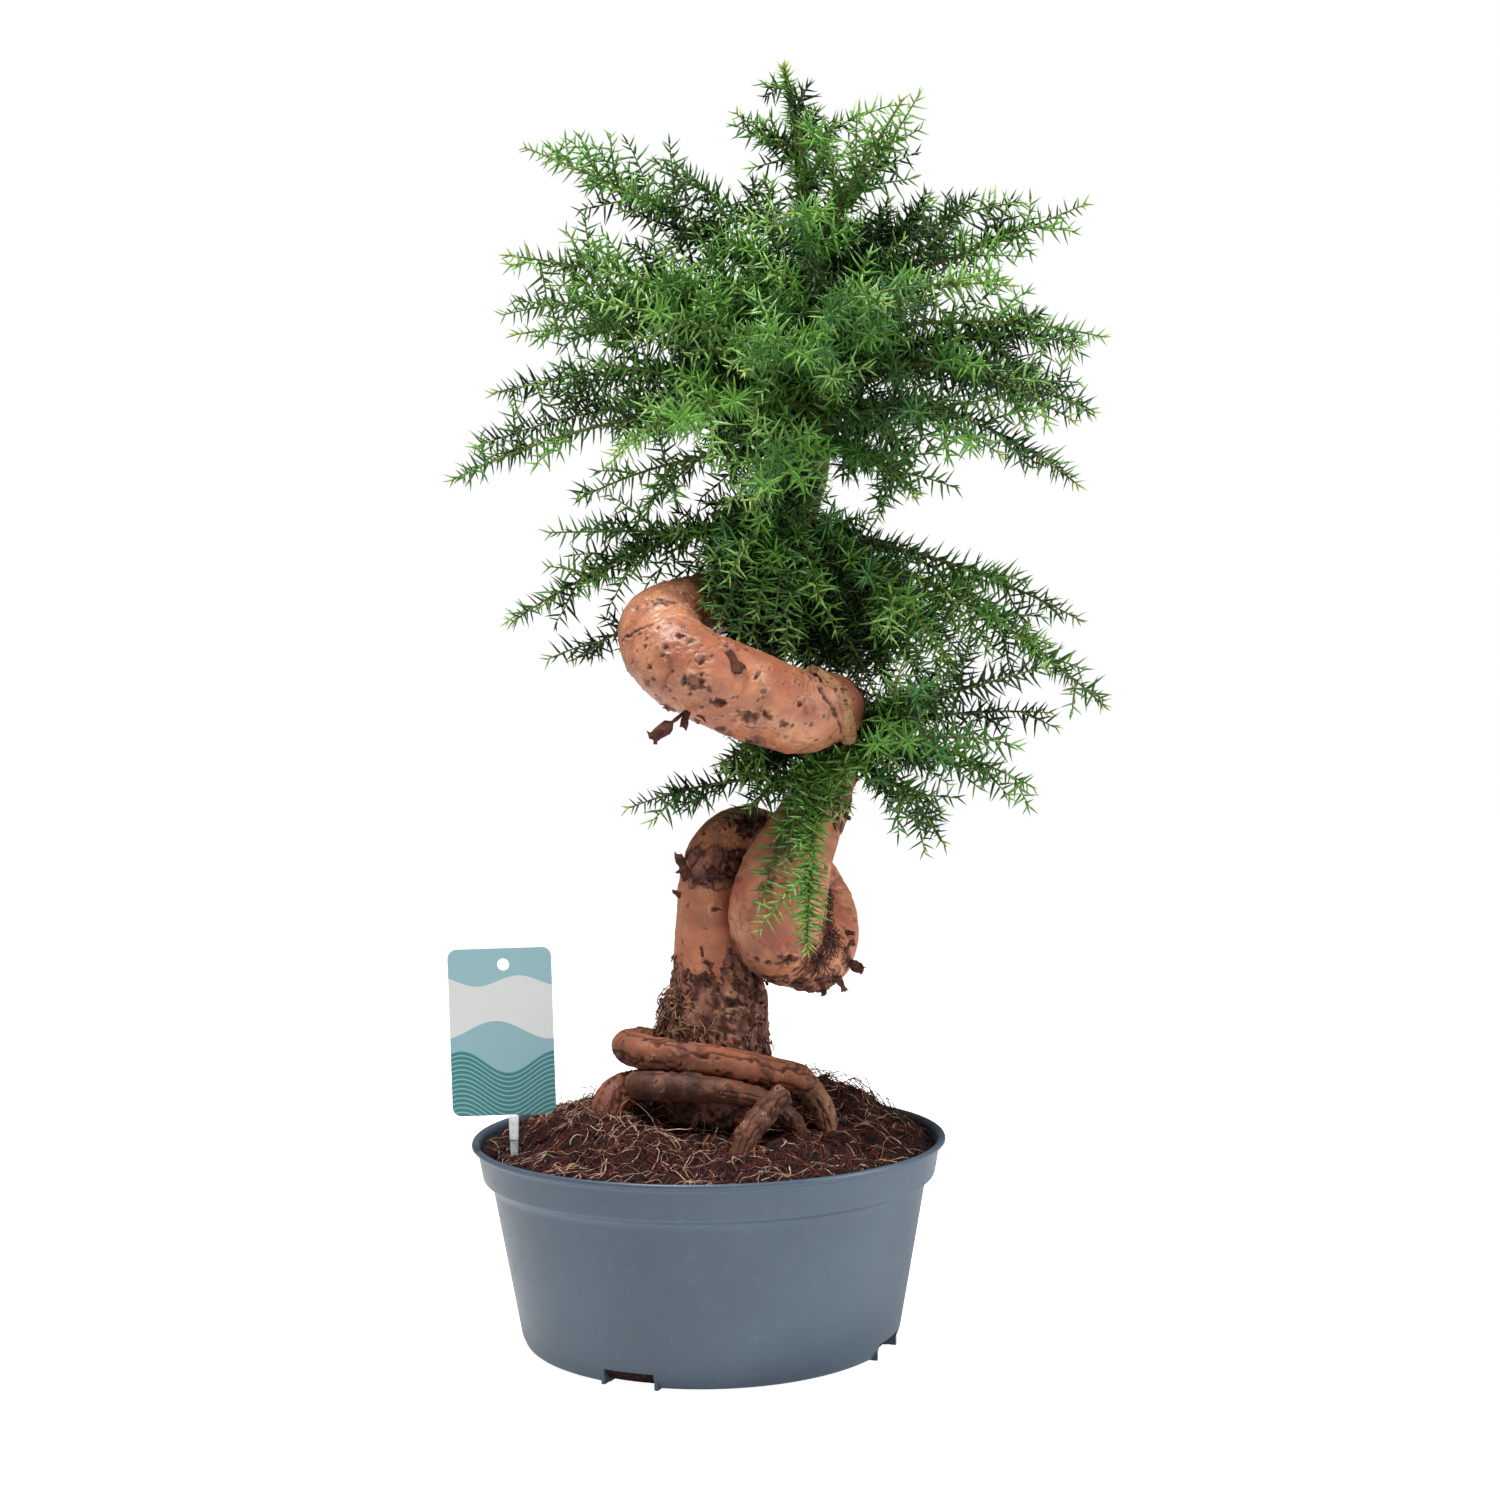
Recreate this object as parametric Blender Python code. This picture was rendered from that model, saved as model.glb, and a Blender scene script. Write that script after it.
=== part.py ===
"""A young hoop pine with a knotted, trained trunk, in a low round plastic pot.

Metres, +Z up. The origin is the middle of the pot's flat underside, and the
pot's front, with the label at its left, faces -Y. Lengths below are in
millimetres and are scaled by MM where a mesh is made.
"""
import math
import random

import bmesh
import bpy
import numpy as np
from mathutils import Matrix, Vector

MM = 0.001
GAP = 0.3               # clearance between pieces that touch

# Pot: a moulded bowl with a collar and a rolled lip.
POT_RIM_R = 135.0
POT_H = 115.0
POT_BASE_R = 107.7
POT_WALL = 1.7
COLLAR_R = 131.4
COLLAR_H = 21.0
POT_SIDES = 40
FLOOR_T = 2.0
CHANNEL_W = 29.0        # four raised channels under the floor let water out
CHANNEL_H = 9.0
CHANNEL_R0 = 45.0
CHANNEL_TURN = math.radians(67.0)
DRAIN_R = 4.5

# Coir: a low mound with a flat seat under the trunk.
SOIL_EDGE_Z = 108.5
SEAT_Z = 126.0
SEAT_R = 38.0

# Label on a stick, near the rim at the front left.
LABEL_W = 57.0
LABEL_H = 92.0
LABEL_T = 0.9
LABEL_CORNER = 5.0
LABEL_HOLE_R = 3.3
LABEL_AT = (-111.5, -44.0, 135.0)
LABEL_TURN = math.radians(-1.2)
STICK_W = 5.6
STICK_T = 1.6
STICK_DEPTH = 22.0

# Trunk: x, y, z and radius of its middle line at the turns of the knot.
TRUNK_ROUTE = {
    "trunk_foot": [(4, 0, 126.3, 36), (4, 0, 142, 33), (4, 0, 160, 31), (4, 0, 192, 28),
                   (2, 0, 215, 21.5), (2, 0, 240, 19)],
    "trunk_fold": [(4, 1, 262, 18), (10, 5, 279, 16.5), (24, 16, 286, 15.5),
                   (42, 26, 277, 15.5), (60, 28, 258, 16.5)],
    "trunk_lobe": [(69, 18, 236, 18), (62, -6, 218, 20.5), (43, -26, 232, 27),
                   (43, -29, 256, 26), (52, -22, 281, 21.5)],
    "trunk_riser": [(64, -11, 303, 17.5), (73, -3, 324, 15), (75, -8, 342, 14), (70, -20, 352, 12)],
    "trunk_strand": [(82, -15, 359, 9), (76, -22, 358, 16.5), (66, -33, 357, 21), (50, -43, 356, 23),
                     (18, -50, 367, 24.5), (-8, -48, 380, 25)],
    "trunk_curl": [(-21, -32, 393, 24.5), (-23, -6, 404, 23.5), (-10, 20, 413, 21)],
    "trunk_back": [(17, 35, 427, 16.5), (42, 32, 448, 12)],
    "leader": [(58, 22, 474, 9.6), (66, 12, 505, 8.8), (68, 2, 545, 7.8), (66, 0, 589, 6.3),
               (61, 0, 646, 4.4), (56, 0, 690, 2.8), (50, 0, 720, 1.0)],
}
# The riser stops under the front strand, whose thick end closes the knot.
KNOT_BREAK = "trunk_strand"
TRUNK_STEP = 13.0
TRUNK_SIDES = 10
LEADER_SIDES = 7

# Surface roots that wrap the foot: x, y, z and radius along each.
ROOTS = {
    "root_upper": [(-18, 24, 161, 8), (-38, 14, 165, 9), (-45, -12, 166, 9.5), (-33, -34, 165, 9.5),
                   (-4, -42, 160, 9), (27, -41, 152, 9), (50, -38, 142, 8.5), (63, -38, 133, 7.5),
                   (70, -38, 128, 5)],
    "root_lower": [(-24, -18, 148, 6), (-38, -38, 147, 7.5), (-5, -54, 147, 7.5), (28, -54, 142, 6),
                   (48, -49, 130, 6), (56, -46, 116, 5)],
    "root_stub": [(-20, -2, 144, 9), (-42, -11, 145, 9.5), (-54, -19, 141, 9.5), (-60, -24, 131, 9),
                  (-61, -26, 112, 8)],
    "root_front": [(40, -52, 141, 7), (29, -62, 134, 8), (20, -71, 125, 7.5), (14, -78, 110, 6)],
    "root_right": [(26, 8, 160, 10), (44, -8, 150, 10), (60, -16, 138, 8), (70, -20, 126, 7),
                   (76, -24, 112, 6)],
}
ROOT_SIDES = 8

# Boughs on the leader: height, bearing, reach, rise at the tip, lift at the foot.
# A bearing of 0 is +X, 90 is +Y and 270 is towards the front.
BOUGHS = {
    "foliage_top_left": (668, 200, 42, 26, 24),
    "foliage_top_right": (676, 20, 38, 22, 20),
    "foliage_top_front": (648, 290, 48, 30, 30),
    "foliage_left_1": (596, 166, 173, 93, 110),
    "foliage_left_2": (612, 145, 112, 74, 80),
    "foliage_left_3": (574, 193, 176, 34, 52),
    "foliage_left_4": (560, 180, 172, 12, 48),
    "foliage_left_5": (545, 167, 196, 1, 40),
    "foliage_left_6": (524, 188, 208, -37, 30),
    "foliage_left_7": (502, 170, 140, -20, 25),
    "foliage_left_8": (470, 178, 168, -60, -8),
    "foliage_right_1": (618, 325, 62, 74, 70),
    "foliage_right_2": (586, 6, 158, 60, 52),
    "foliage_right_3": (596, 32, 138, 44, 44),
    "foliage_right_4": (582, 335, 116, 4, 32),
    "foliage_right_5": (565, 353, 160, -2, 40),
    "foliage_right_6": (552, 14, 168, -22, 38),
    "foliage_right_7": (546, 338, 146, -34, 34),
    "foliage_right_8": (528, 355, 146, -46, 30),
    "foliage_right_9": (522, 322, 126, -34, 26),
    "foliage_right_10": (506, 308, 90, -42, 14),
    "foliage_front_1": (604, 262, 88, 14, 44),
    "foliage_front_2": (572, 286, 116, -8, 36),
    "foliage_front_3": (548, 250, 124, -18, 34),
    "foliage_front_4": (526, 226, 156, -34, 30),
    "foliage_front_5": (500, 250, 110, -34, 24),
    "foliage_back_1": (608, 74, 112, 48, 58),
    "foliage_back_2": (584, 112, 140, 26, 48),
    "foliage_back_3": (566, 62, 150, 2, 42),
    "foliage_back_4": (540, 96, 152, -16, 34),
    "foliage_back_5": (520, 132, 158, -36, 28),
    "foliage_back_6": (508, 52, 150, -52, 24),
    "foliage_back_7": (488, 92, 140, -66, 12),
}
# Boughs on the knot: x, y, z and radius of the trunk there, then as above.
LOW_BOUGHS = {
    "foliage_mid_1": (52, 27, 460, 10.5, 353, 165, -54, -14),
    "foliage_mid_2": (47, 30, 454, 11, 342, 186, -98, -18),
    "foliage_mid_3": (54, 25, 465, 10, 25, 150, -60, -6),
    "foliage_mid_4": (50, 29, 458, 11, 318, 118, -80, -8),
    "foliage_low_1": (75, -7, 336, 14, 342, 112, -24, 14),
    "foliage_low_2": (73, -4, 324, 15, 318, 78, -42, 14),
    "foliage_low_3": (69, -5, 316, 15.5, 183, 112, -14, 14),
    "foliage_low_4": (66, -8, 309, 16.5, 262, 80, -80, 18),
    "foliage_low_5": (-17, 12, 410, 22, 160, 62, -22, -2),
    "foliage_low_6": (75, -7, 341, 14, 12, 128, 12, 34),
}
BOUGH_STEPS = 26
NEEDLE = 9.0            # how far a blade's teeth stand out from its middle line
BODY = 2.3              # half width of a blade between its teeth
TOOTH = 22.0            # length of a tooth and its notch along a blade
LEAN = 4.5              # how far a tooth leans forward
TWIG_FROM = 0.2         # share of a bough that stays free of side twigs
TWIG_STEP = 25.0        # distance along a bough from one side twig to the next
TWIG_LENGTH = 50.0
TWIG_ANGLE = math.radians(52.0)
TWIG_SAG = 0.10
SPACE = 1.2             # a blade keeps this much nearer its own bough than any other

POT_BLUE_GREY = (0.133, 0.168, 0.212)
COIR_BROWN = (0.092, 0.036, 0.018)
LABEL_BLUE = (0.46, 0.66, 0.72)
STICK_WHITE = (0.80, 0.82, 0.82)
BARK_TAN = (0.58, 0.275, 0.147)
LEADER_GREEN = (0.17, 0.19, 0.05)
ROOT_BROWN = (0.30, 0.125, 0.055)
NEEDLE_GREEN = (0.058, 0.19, 0.032)


def clear_scene():
    for obj in list(bpy.data.objects):
        bpy.data.objects.remove(obj, do_unlink=True)


def material(name, color, roughness):
    mat = bpy.data.materials.new(name)
    mat.use_nodes = True
    shader = mat.node_tree.nodes["Principled BSDF"]
    shader.inputs["Base Color"].default_value = (*color, 1.0)
    shader.inputs["Roughness"].default_value = roughness
    shader.inputs["Metallic"].default_value = 0.0
    return mat


def object_from(bm, name, mat=None, at=(0.0, 0.0, 0.0), scale=MM):
    """An object at `at`, in millimetres, whose bmesh is given about that point."""
    bmesh.ops.recalc_face_normals(bm, faces=bm.faces[:])
    bm.transform(Matrix.Scale(scale, 4))
    mesh = bpy.data.meshes.new(name)
    bm.to_mesh(mesh)
    bm.free()
    obj = bpy.data.objects.new(name, mesh)
    bpy.context.scene.collection.objects.link(obj)
    obj.location = Vector(at) * MM
    if mat:
        mesh.materials.append(mat)
    return obj


def smooth(obj, angle=35.0):
    obj.data.shade_smooth()
    obj.data.set_sharp_from_angle(angle=math.radians(angle))


def apply_modifiers(obj):
    evaluated = obj.evaluated_get(bpy.context.evaluated_depsgraph_get())
    mesh = bpy.data.meshes.new_from_object(evaluated)
    obj.modifiers.clear()
    worn = obj.data
    obj.data = mesh
    bpy.data.meshes.remove(worn)


def boolean(obj, others, operation):
    """Join `others` to obj or cut them from it, and remove them."""
    group = bpy.data.collections.new("operands")
    bpy.context.scene.collection.children.link(group)
    for other in others:
        bpy.context.scene.collection.objects.unlink(other)
        group.objects.link(other)
        other.hide_render = True
        other.display_type = "WIRE"
    step = obj.modifiers.new(operation.title(), "BOOLEAN")
    step.operation = operation
    step.operand_type = "COLLECTION"
    step.collection = group
    step.solver = "EXACT"
    apply_modifiers(obj)
    for other in others:
        bpy.data.objects.remove(other, do_unlink=True)
    bpy.data.collections.remove(group)


def keep_largest(obj):
    """Drop the loose scraps that a cut leaves."""
    bm = bmesh.new()
    bm.from_mesh(obj.data)
    left = set(bm.verts)
    islands = []
    while left:
        stack = [left.pop()]
        island = list(stack)
        while stack:
            for edge in stack.pop().link_edges:
                for vert in edge.verts:
                    if vert in left:
                        left.remove(vert)
                        stack.append(vert)
                        island.append(vert)
        islands.append(island)
    islands.sort(key=len)
    for island in islands[:-1]:
        bmesh.ops.delete(bm, geom=island, context="VERTS")
    bm.to_mesh(obj.data)
    bm.free()


def turned(profile, sides):
    """A closed solid turned about Z from (radius, z) points; radius 0 is a pole."""
    bm = bmesh.new()
    rings = []
    for radius, z in profile:
        if radius == 0.0:
            rings.append([bm.verts.new((0.0, 0.0, z))])
            continue
        turns = [2.0 * math.pi * k / sides for k in range(sides)]
        rings.append([bm.verts.new((radius * math.cos(a), radius * math.sin(a), z)) for a in turns])
    for low, high in zip(rings, rings[1:]):
        join_rings(bm, low, high)
    return bm


def join_rings(bm, low, high):
    count = max(len(low), len(high))
    for k in range(count):
        corners = [low[k % len(low)], low[(k + 1) % len(low)],
                   high[(k + 1) % len(high)], high[k % len(high)]]
        distinct = list(dict.fromkeys(corners))
        if len(distinct) > 2:
            bm.faces.new(distinct)


def box(bm, size, centre, turn=0.0):
    made = bmesh.ops.create_cube(bm, size=1.0)["verts"]
    bmesh.ops.scale(bm, verts=made, vec=size)
    bmesh.ops.translate(bm, verts=made, vec=centre)
    bmesh.ops.rotate(bm, verts=made, cent=(0, 0, 0), matrix=Matrix.Rotation(turn, 3, "Z"))


def channel_turns():
    return [CHANNEL_TURN + k * math.pi / 2 for k in range(4)]


def inner_profile():
    """Inside of the pot from the middle of its floor up to the lip."""
    neck_z = POT_H - COLLAR_H - 5.0
    return [(0.0, FLOOR_T), (101.5, FLOOR_T), (106.0, 7.0), (121.0, neck_z),
            (126.6, neck_z + 5.8), (COLLAR_R - POT_WALL, POT_H - 3.0)]


def make_pot():
    neck_z = POT_H - COLLAR_H - 5.0
    outer = [(0.0, 0.0), (101.2, 0.0), (105.4, 1.6), (POT_BASE_R, 6.5), (122.9, neck_z),
             (124.6, neck_z + 3.4), (128.4, neck_z + 5.2), (COLLAR_R, POT_H - 4.2),
             (POT_RIM_R, POT_H - 2.6), (POT_RIM_R - 0.9, POT_H), (COLLAR_R - 0.4, POT_H - 0.6)]
    pot = object_from(turned(outer + inner_profile()[::-1], POT_SIDES), "pot",
                      material("pot plastic", POT_BLUE_GREY, 0.42))
    raised = bmesh.new()
    hollow = bmesh.new()
    for turn in channel_turns():
        length = POT_BASE_R - 1.6 - CHANNEL_R0
        box(raised, (length, CHANNEL_W + 2 * FLOOR_T, CHANNEL_H + FLOOR_T - 0.4),
            (CHANNEL_R0 + length / 2, 0, (CHANNEL_H + FLOOR_T + 0.4) / 2), turn)
        box(hollow, (80, CHANNEL_W, CHANNEL_H + 5),
            (CHANNEL_R0 + FLOOR_T + 40, 0, CHANNEL_H / 2 - 2.5), turn)
    boolean(pot, [object_from(raised, "channels")], "UNION")
    holes = bmesh.new()
    for turn in channel_turns():
        drilled = bmesh.ops.create_cone(holes, cap_ends=True, segments=12, radius1=DRAIN_R,
                                        radius2=DRAIN_R, depth=30.0)["verts"]
        bmesh.ops.translate(holes, verts=drilled, vec=(78 * math.cos(turn), 78 * math.sin(turn), 9))
    boolean(pot, [object_from(hollow, "channel_hollows")], "DIFFERENCE")
    boolean(pot, [object_from(holes, "drain_holes")], "DIFFERENCE")
    smooth(pot)
    return pot


def soil_height(x, y):
    """Top of the coir: a flat seat under the trunk, falling to the wall, with clods."""
    r = math.hypot(x, y)
    if r <= SEAT_R + 1.0:
        return SEAT_Z
    t = min(1.0, (r - SEAT_R) / (COLLAR_R - SEAT_R))
    fall = (SEAT_Z - SOIL_EDGE_Z) * t ** 0.8
    heap = 19.0 * math.exp(-((x - 66) ** 2 + (y - 50) ** 2) / 1700.0)
    heap += 9.0 * math.exp(-((x + 68) ** 2 + (y - 48) ** 2) / 1500.0)
    clods = 1.3 * math.sin(x / 9.0 + 1.0) * math.sin(y / 8.0 + 0.4) * min(1.0, (r - SEAT_R) / 15.0)
    return SEAT_Z - fall + heap * min(1.0, t * 4) + clods * (1 - 0.6 * t)


def soil_solid(lift, bottom, reach):
    """The mound as a closed bmesh; lifted, it cuts what stands on it."""
    bm = bmesh.new()
    rings = [[bm.verts.new((0, 0, SEAT_Z + lift))]]
    for radius in (SEAT_R + 1, 53.0, 70.0, 88.0, 108.0, reach):
        ring = []
        for k in range(POT_SIDES):
            a = 2.0 * math.pi * k / POT_SIDES
            x, y = radius * math.cos(a), radius * math.sin(a)
            ring.append(bm.verts.new((x, y, soil_height(x, y) + lift)))
        rings.append(ring)
    for radius, z in bottom:
        turns = [2.0 * math.pi * k / POT_SIDES for k in range(POT_SIDES)]
        rings.append([bm.verts.new((radius * math.cos(a), radius * math.sin(a), z)) for a in turns])
    rings.append([bm.verts.new((0, 0, bottom[-1][1]))])
    for inner, outer in zip(rings, rings[1:]):
        join_rings(bm, inner, outer)
    return bm


def make_soil():
    inside = inner_profile()
    wall = [(r - GAP, z + GAP * 0.4) for r, z in inside[1:5]][::-1]
    wall[-1] = (wall[-1][0], FLOOR_T + GAP)
    soil = object_from(soil_solid(0.0, wall, COLLAR_R - POT_WALL - 1.1), "soil",
                       material("coir", COIR_BROWN, 0.95))
    cuts = bmesh.new()
    for turn in channel_turns():
        box(cuts, (80, CHANNEL_W + 2 * FLOOR_T + 2 * GAP, 2 * (CHANNEL_H + FLOOR_T + GAP)),
            (CHANNEL_R0 - GAP + 40, 0, 0), turn)
    boolean(soil, [object_from(cuts, "channel_room")], "DIFFERENCE")
    slot = bmesh.new()
    box(slot, (STICK_W + 2 * GAP, STICK_T + 2 * GAP, 2 * (STICK_DEPTH + GAP)), (0, 0, 0))
    x, y, _ = LABEL_AT
    boolean(soil, [object_from(slot, "stick_slot", at=(x + 5, y, 109.0))], "DIFFERENCE")
    smooth(soil, 50.0)
    return soil


def make_label():
    """A card with round corners and a round hole, its bottom edge in a clear stick."""
    bm = bmesh.new()
    box(bm, (LABEL_W, LABEL_T, LABEL_H), (0, 0, LABEL_H / 2))
    upright = [e for e in bm.edges if abs(e.verts[0].co.y - e.verts[1].co.y) > 0.5 * LABEL_T]
    bmesh.ops.bevel(bm, geom=upright, offset=LABEL_CORNER, segments=4, affect="EDGES", profile=0.5)
    card = object_from(bm, "label_card", material("label print", LABEL_BLUE, 0.4), LABEL_AT)
    hole = bmesh.new()
    bmesh.ops.create_cone(hole, cap_ends=True, segments=16, radius1=LABEL_HOLE_R,
                          radius2=LABEL_HOLE_R, depth=10.0, matrix=Matrix.Rotation(math.pi / 2, 4, "X"))
    bmesh.ops.translate(hole, verts=hole.verts[:], vec=(2.0, 0, LABEL_H - 9.0))
    boolean(card, [object_from(hole, "label_hole", at=LABEL_AT)], "DIFFERENCE")
    card.rotation_euler = (0, LABEL_TURN, 0)
    x, y, z = LABEL_AT
    stick_bm = bmesh.new()
    foot = 109.0 - STICK_DEPTH
    box(stick_bm, (STICK_W, STICK_T, z - foot - GAP), (0, 0, (z - foot - GAP) / 2))
    tips = [v for v in stick_bm.verts if v.co.z < 1.0]
    bmesh.ops.scale(stick_bm, verts=tips, vec=(0.4, 1, 1))
    stick = object_from(stick_bm, "label_stick", material("label stick", STICK_WHITE, 0.3),
                        (x + 5, y, foot))
    return [card, stick]


def curve_through(points, step):
    """Points about `step` apart on a smooth curve through the given ones."""
    knots = np.array(points, dtype=float)
    ends = np.vstack([2 * knots[0] - knots[1], knots, 2 * knots[-1] - knots[-2]])
    path = []
    marks = []
    for k in range(len(knots) - 1):
        p0, p1, p2, p3 = ends[k:k + 4]
        parts = max(2, int(round(np.linalg.norm(p2[:3] - p1[:3]) / step)))
        for i in range(parts):
            t = i / parts
            path.append(0.5 * (2 * p1 + (p2 - p0) * t + (2 * p0 - 5 * p1 + 4 * p2 - p3) * t * t
                               + (3 * p1 - p0 - 3 * p2 + p3) * t ** 3))
        marks.append(len(path) - parts)
    marks.append(len(path))
    path.append(knots[-1])
    return np.array(path), marks


def with_tangents(path):
    way = np.gradient(path[:, :3], axis=0)
    return np.hstack([path, way / np.linalg.norm(way, axis=1)[:, None]])


def tube(path, sides, trim_start=0.0, trim_end=0.0, grow=0.0):
    """A closed round limb along the path, cut square at both ends."""
    bm = bmesh.new()
    way = path[:, 4:]
    centres = path[:, :3].copy()
    centres[0] += way[0] * trim_start
    centres[-1] -= way[-1] * trim_end
    side = np.array((1.0, 0.0, 0.0)) - way[0] * way[0][0]
    if np.linalg.norm(side) < 0.3:
        side = np.array((0.0, 1.0, 0.0)) - way[0] * way[0][1]
    rings = []
    for centre, forward, radius in zip(centres, way, path[:, 3] + grow):
        side = side - forward * np.dot(side, forward)
        side /= np.linalg.norm(side)
        other = np.cross(forward, side)
        ring = []
        for k in range(sides):
            a = 2 * math.pi * k / sides
            ring.append(bm.verts.new(centre + radius * (side * math.cos(a) + other * math.sin(a))))
        rings.append(ring)
    for low, high in zip(rings, rings[1:]):
        join_rings(bm, low, high)
    bm.faces.new(rings[0][::-1])
    bm.faces.new(rings[-1])
    return bm


def trunk_pieces():
    """The path of each length of trunk, cut from one smooth route at the bends."""
    names = list(TRUNK_ROUTE)
    split = names.index(KNOT_BREAK)
    pieces = {}
    for run in (names[:split], names[split:]):
        knots = [p for name in run for p in TRUNK_ROUTE[name]]
        path, marks = curve_through(knots, TRUNK_STEP)
        path = with_tangents(path)
        if run[0] == names[0]:
            path[0, 4:] = (0, 0, 1)
        first = 0
        for place, name in enumerate(run):
            last = first + len(TRUNK_ROUTE[name])
            begin = marks[first] if place == 0 else marks[first] - 1
            end = marks[last] - 1 if last < len(knots) else marks[-1]
            pieces[name] = path[begin:end + 1]
            first = last
    return pieces


def make_trunk(pieces):
    bark = material("bark", BARK_TAN, 0.62)
    green = material("green bark", LEADER_GREEN, 0.7)
    names = list(pieces)
    made = []
    for name in names:
        path = pieces[name]
        sides = LEADER_SIDES if name == "leader" else TRUNK_SIDES
        loose_start = name in (names[0], KNOT_BREAK)
        bm = tube(path, sides, 0.0 if loose_start else GAP / 2, 0.0 if name == names[-1] else GAP / 2)
        made.append(object_from(bm, name, green if name == "leader" else bark))
    riser = made[names.index("trunk_riser")]
    room = tube(pieces[KNOT_BREAK][:6], TRUNK_SIDES, -GAP, grow=GAP + 0.1)
    boolean(riser, [object_from(room, "strand_room")], "DIFFERENCE")
    keep_largest(riser)
    for piece in made:
        smooth(piece)
    return made


def make_roots(pieces):
    """Roots cut clear of the trunk, of the soil and of each other."""
    mat = material("root bark", ROOT_BROWN, 0.75)
    foot = pieces["trunk_foot"]
    made = []
    paths = []
    for name, knots in ROOTS.items():
        path = with_tangents(curve_through(knots, 11.0)[0])
        root = object_from(tube(path, ROOT_SIDES), name, mat)
        base = [(COLLAR_R, 60.0)]
        cutters = [object_from(soil_solid(GAP, base, COLLAR_R), "ground_room"),
                   object_from(tube(foot, 20, grow=2 * GAP + 0.4), "trunk_room")]
        for other in paths:
            cutters.append(object_from(tube(other, ROOT_SIDES, -1, -1, grow=GAP + 0.6), "root_room"))
        for cutter in cutters:
            boolean(root, [cutter], "DIFFERENCE")
        keep_largest(root)
        smooth(root, 50.0)
        made.append(root)
        paths.append(path)
    return made


def leader_at(pieces, z):
    path = pieces["leader"]
    return [float(np.interp(z, path[:, 2], path[:, k])) for k in (0, 1, 2, 3)]


def bough_axes(pieces):
    """The middle line of each bough, from inside the limb that bears it to its tip."""
    rows = {}
    for name, (z, bearing, reach, rise, lift) in BOUGHS.items():
        rows[name] = (*leader_at(pieces, z), bearing, reach, rise, lift)
    rows.update(LOW_BOUGHS)
    axes = {}
    for name, (x, y, z, radius, bearing, reach, rise, lift) in rows.items():
        a = math.radians(bearing)
        out = np.array((math.cos(a), math.sin(a), 0.0))
        up = np.array((0.0, 0.0, 1.0))
        t = np.linspace(0.5 * radius / reach, 1.0, BOUGH_STEPS)[:, None]
        axes[name] = np.array((x, y, z)) + out * reach * t + up * (lift * t + (rise - lift) * t * t)
    return axes


def distance_to_line(points, line):
    """Distance from each point to the nearest part of a line of points."""
    a, b = line[:-1], line[1:]
    ab = b - a
    t = np.einsum("pkj,kj->pk", points[:, None, :] - a, ab) / np.einsum("kj,kj->k", ab, ab)
    near = a + np.clip(t, 0, 1)[:, :, None] * ab
    return np.linalg.norm(points[:, None, :] - near, axis=2).min(axis=1)


def clear_of_limbs(points, pieces, margin):
    for path in pieces.values():
        a, b = path[:-1], path[1:]
        ab = b[:, :3] - a[:, :3]
        t = np.einsum("pkj,kj->pk", points[:, None, :] - a[:, :3], ab) / np.einsum("kj,kj->k", ab, ab)
        t = np.clip(t, 0, 1)
        near = a[:, :3] + t[:, :, None] * ab
        radius = a[:, 3] + t * (b[:, 3] - a[:, 3])
        if (np.linalg.norm(points[:, None, :] - near, axis=2) - radius).min() < margin:
            return False
    return True


def in_own_space(points, name, axes, pieces):
    own = distance_to_line(points, axes[name])
    for other, line in axes.items():
        if other != name and (distance_to_line(points, line) < own + SPACE).any():
            return False
    return clear_of_limbs(points, pieces, 1.0)


def blade_sections(line, across, reach, body, tooth, allowed=None):
    """Left and right edge points of a toothed blade along a line."""
    length = np.linalg.norm(np.diff(line, axis=0), axis=1)
    run = np.concatenate(([0.0], np.cumsum(length)))
    steps = max(2, 2 * int(round(run[-1] / tooth)))
    rows = []
    for k in range(steps + 1):
        s = run[-1] * k / steps
        centre = np.array([np.interp(s, run, line[:, j]) for j in range(3)])
        ahead = np.array([np.interp(min(s + 1.0, run[-1]), run, line[:, j]) for j in range(3)])
        behind = np.array([np.interp(max(s - 1.0, 0.0), run, line[:, j]) for j in range(3)])
        forward = (ahead - behind) / np.linalg.norm(ahead - behind)
        share = s / run[-1]
        edges = []
        for sign in (-1, 1):
            width = body * (1.0 - 0.55 * share)
            lean = 0.0
            if k == steps:
                width = 0.5
            elif k % 2:
                tip = centre + across * sign * reach + forward * LEAN
                if allowed is None or allowed(tip[None, :]):
                    width = reach
                    lean = LEAN
            edges.append(centre + across * sign * width + forward * lean)
        rows.append((centre, forward, edges))
    return rows


def blade(rows, across, thickness, origin):
    """A closed plate through the sections, in millimetres about `origin`."""
    bm = bmesh.new()
    rings = []
    for _, forward, (left, right) in rows:
        face = np.cross(forward, across)
        face /= np.linalg.norm(face)
        h = face * thickness / 2
        ring = [left - h, right - h, right + h, left + h]
        rings.append([bm.verts.new(p - origin) for p in ring])
    for low, high in zip(rings, rings[1:]):
        join_rings(bm, low, high)
    bm.faces.new(rings[0][::-1])
    bm.faces.new(rings[-1])
    return bm


def twig_length(share):
    """Side twigs are longest a third of the way out and short at the tip."""
    rise = min(1.0, 0.55 + share * 1.5)
    return TWIG_LENGTH * rise * (1.0 - 0.72 * share ** 1.6)


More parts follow.
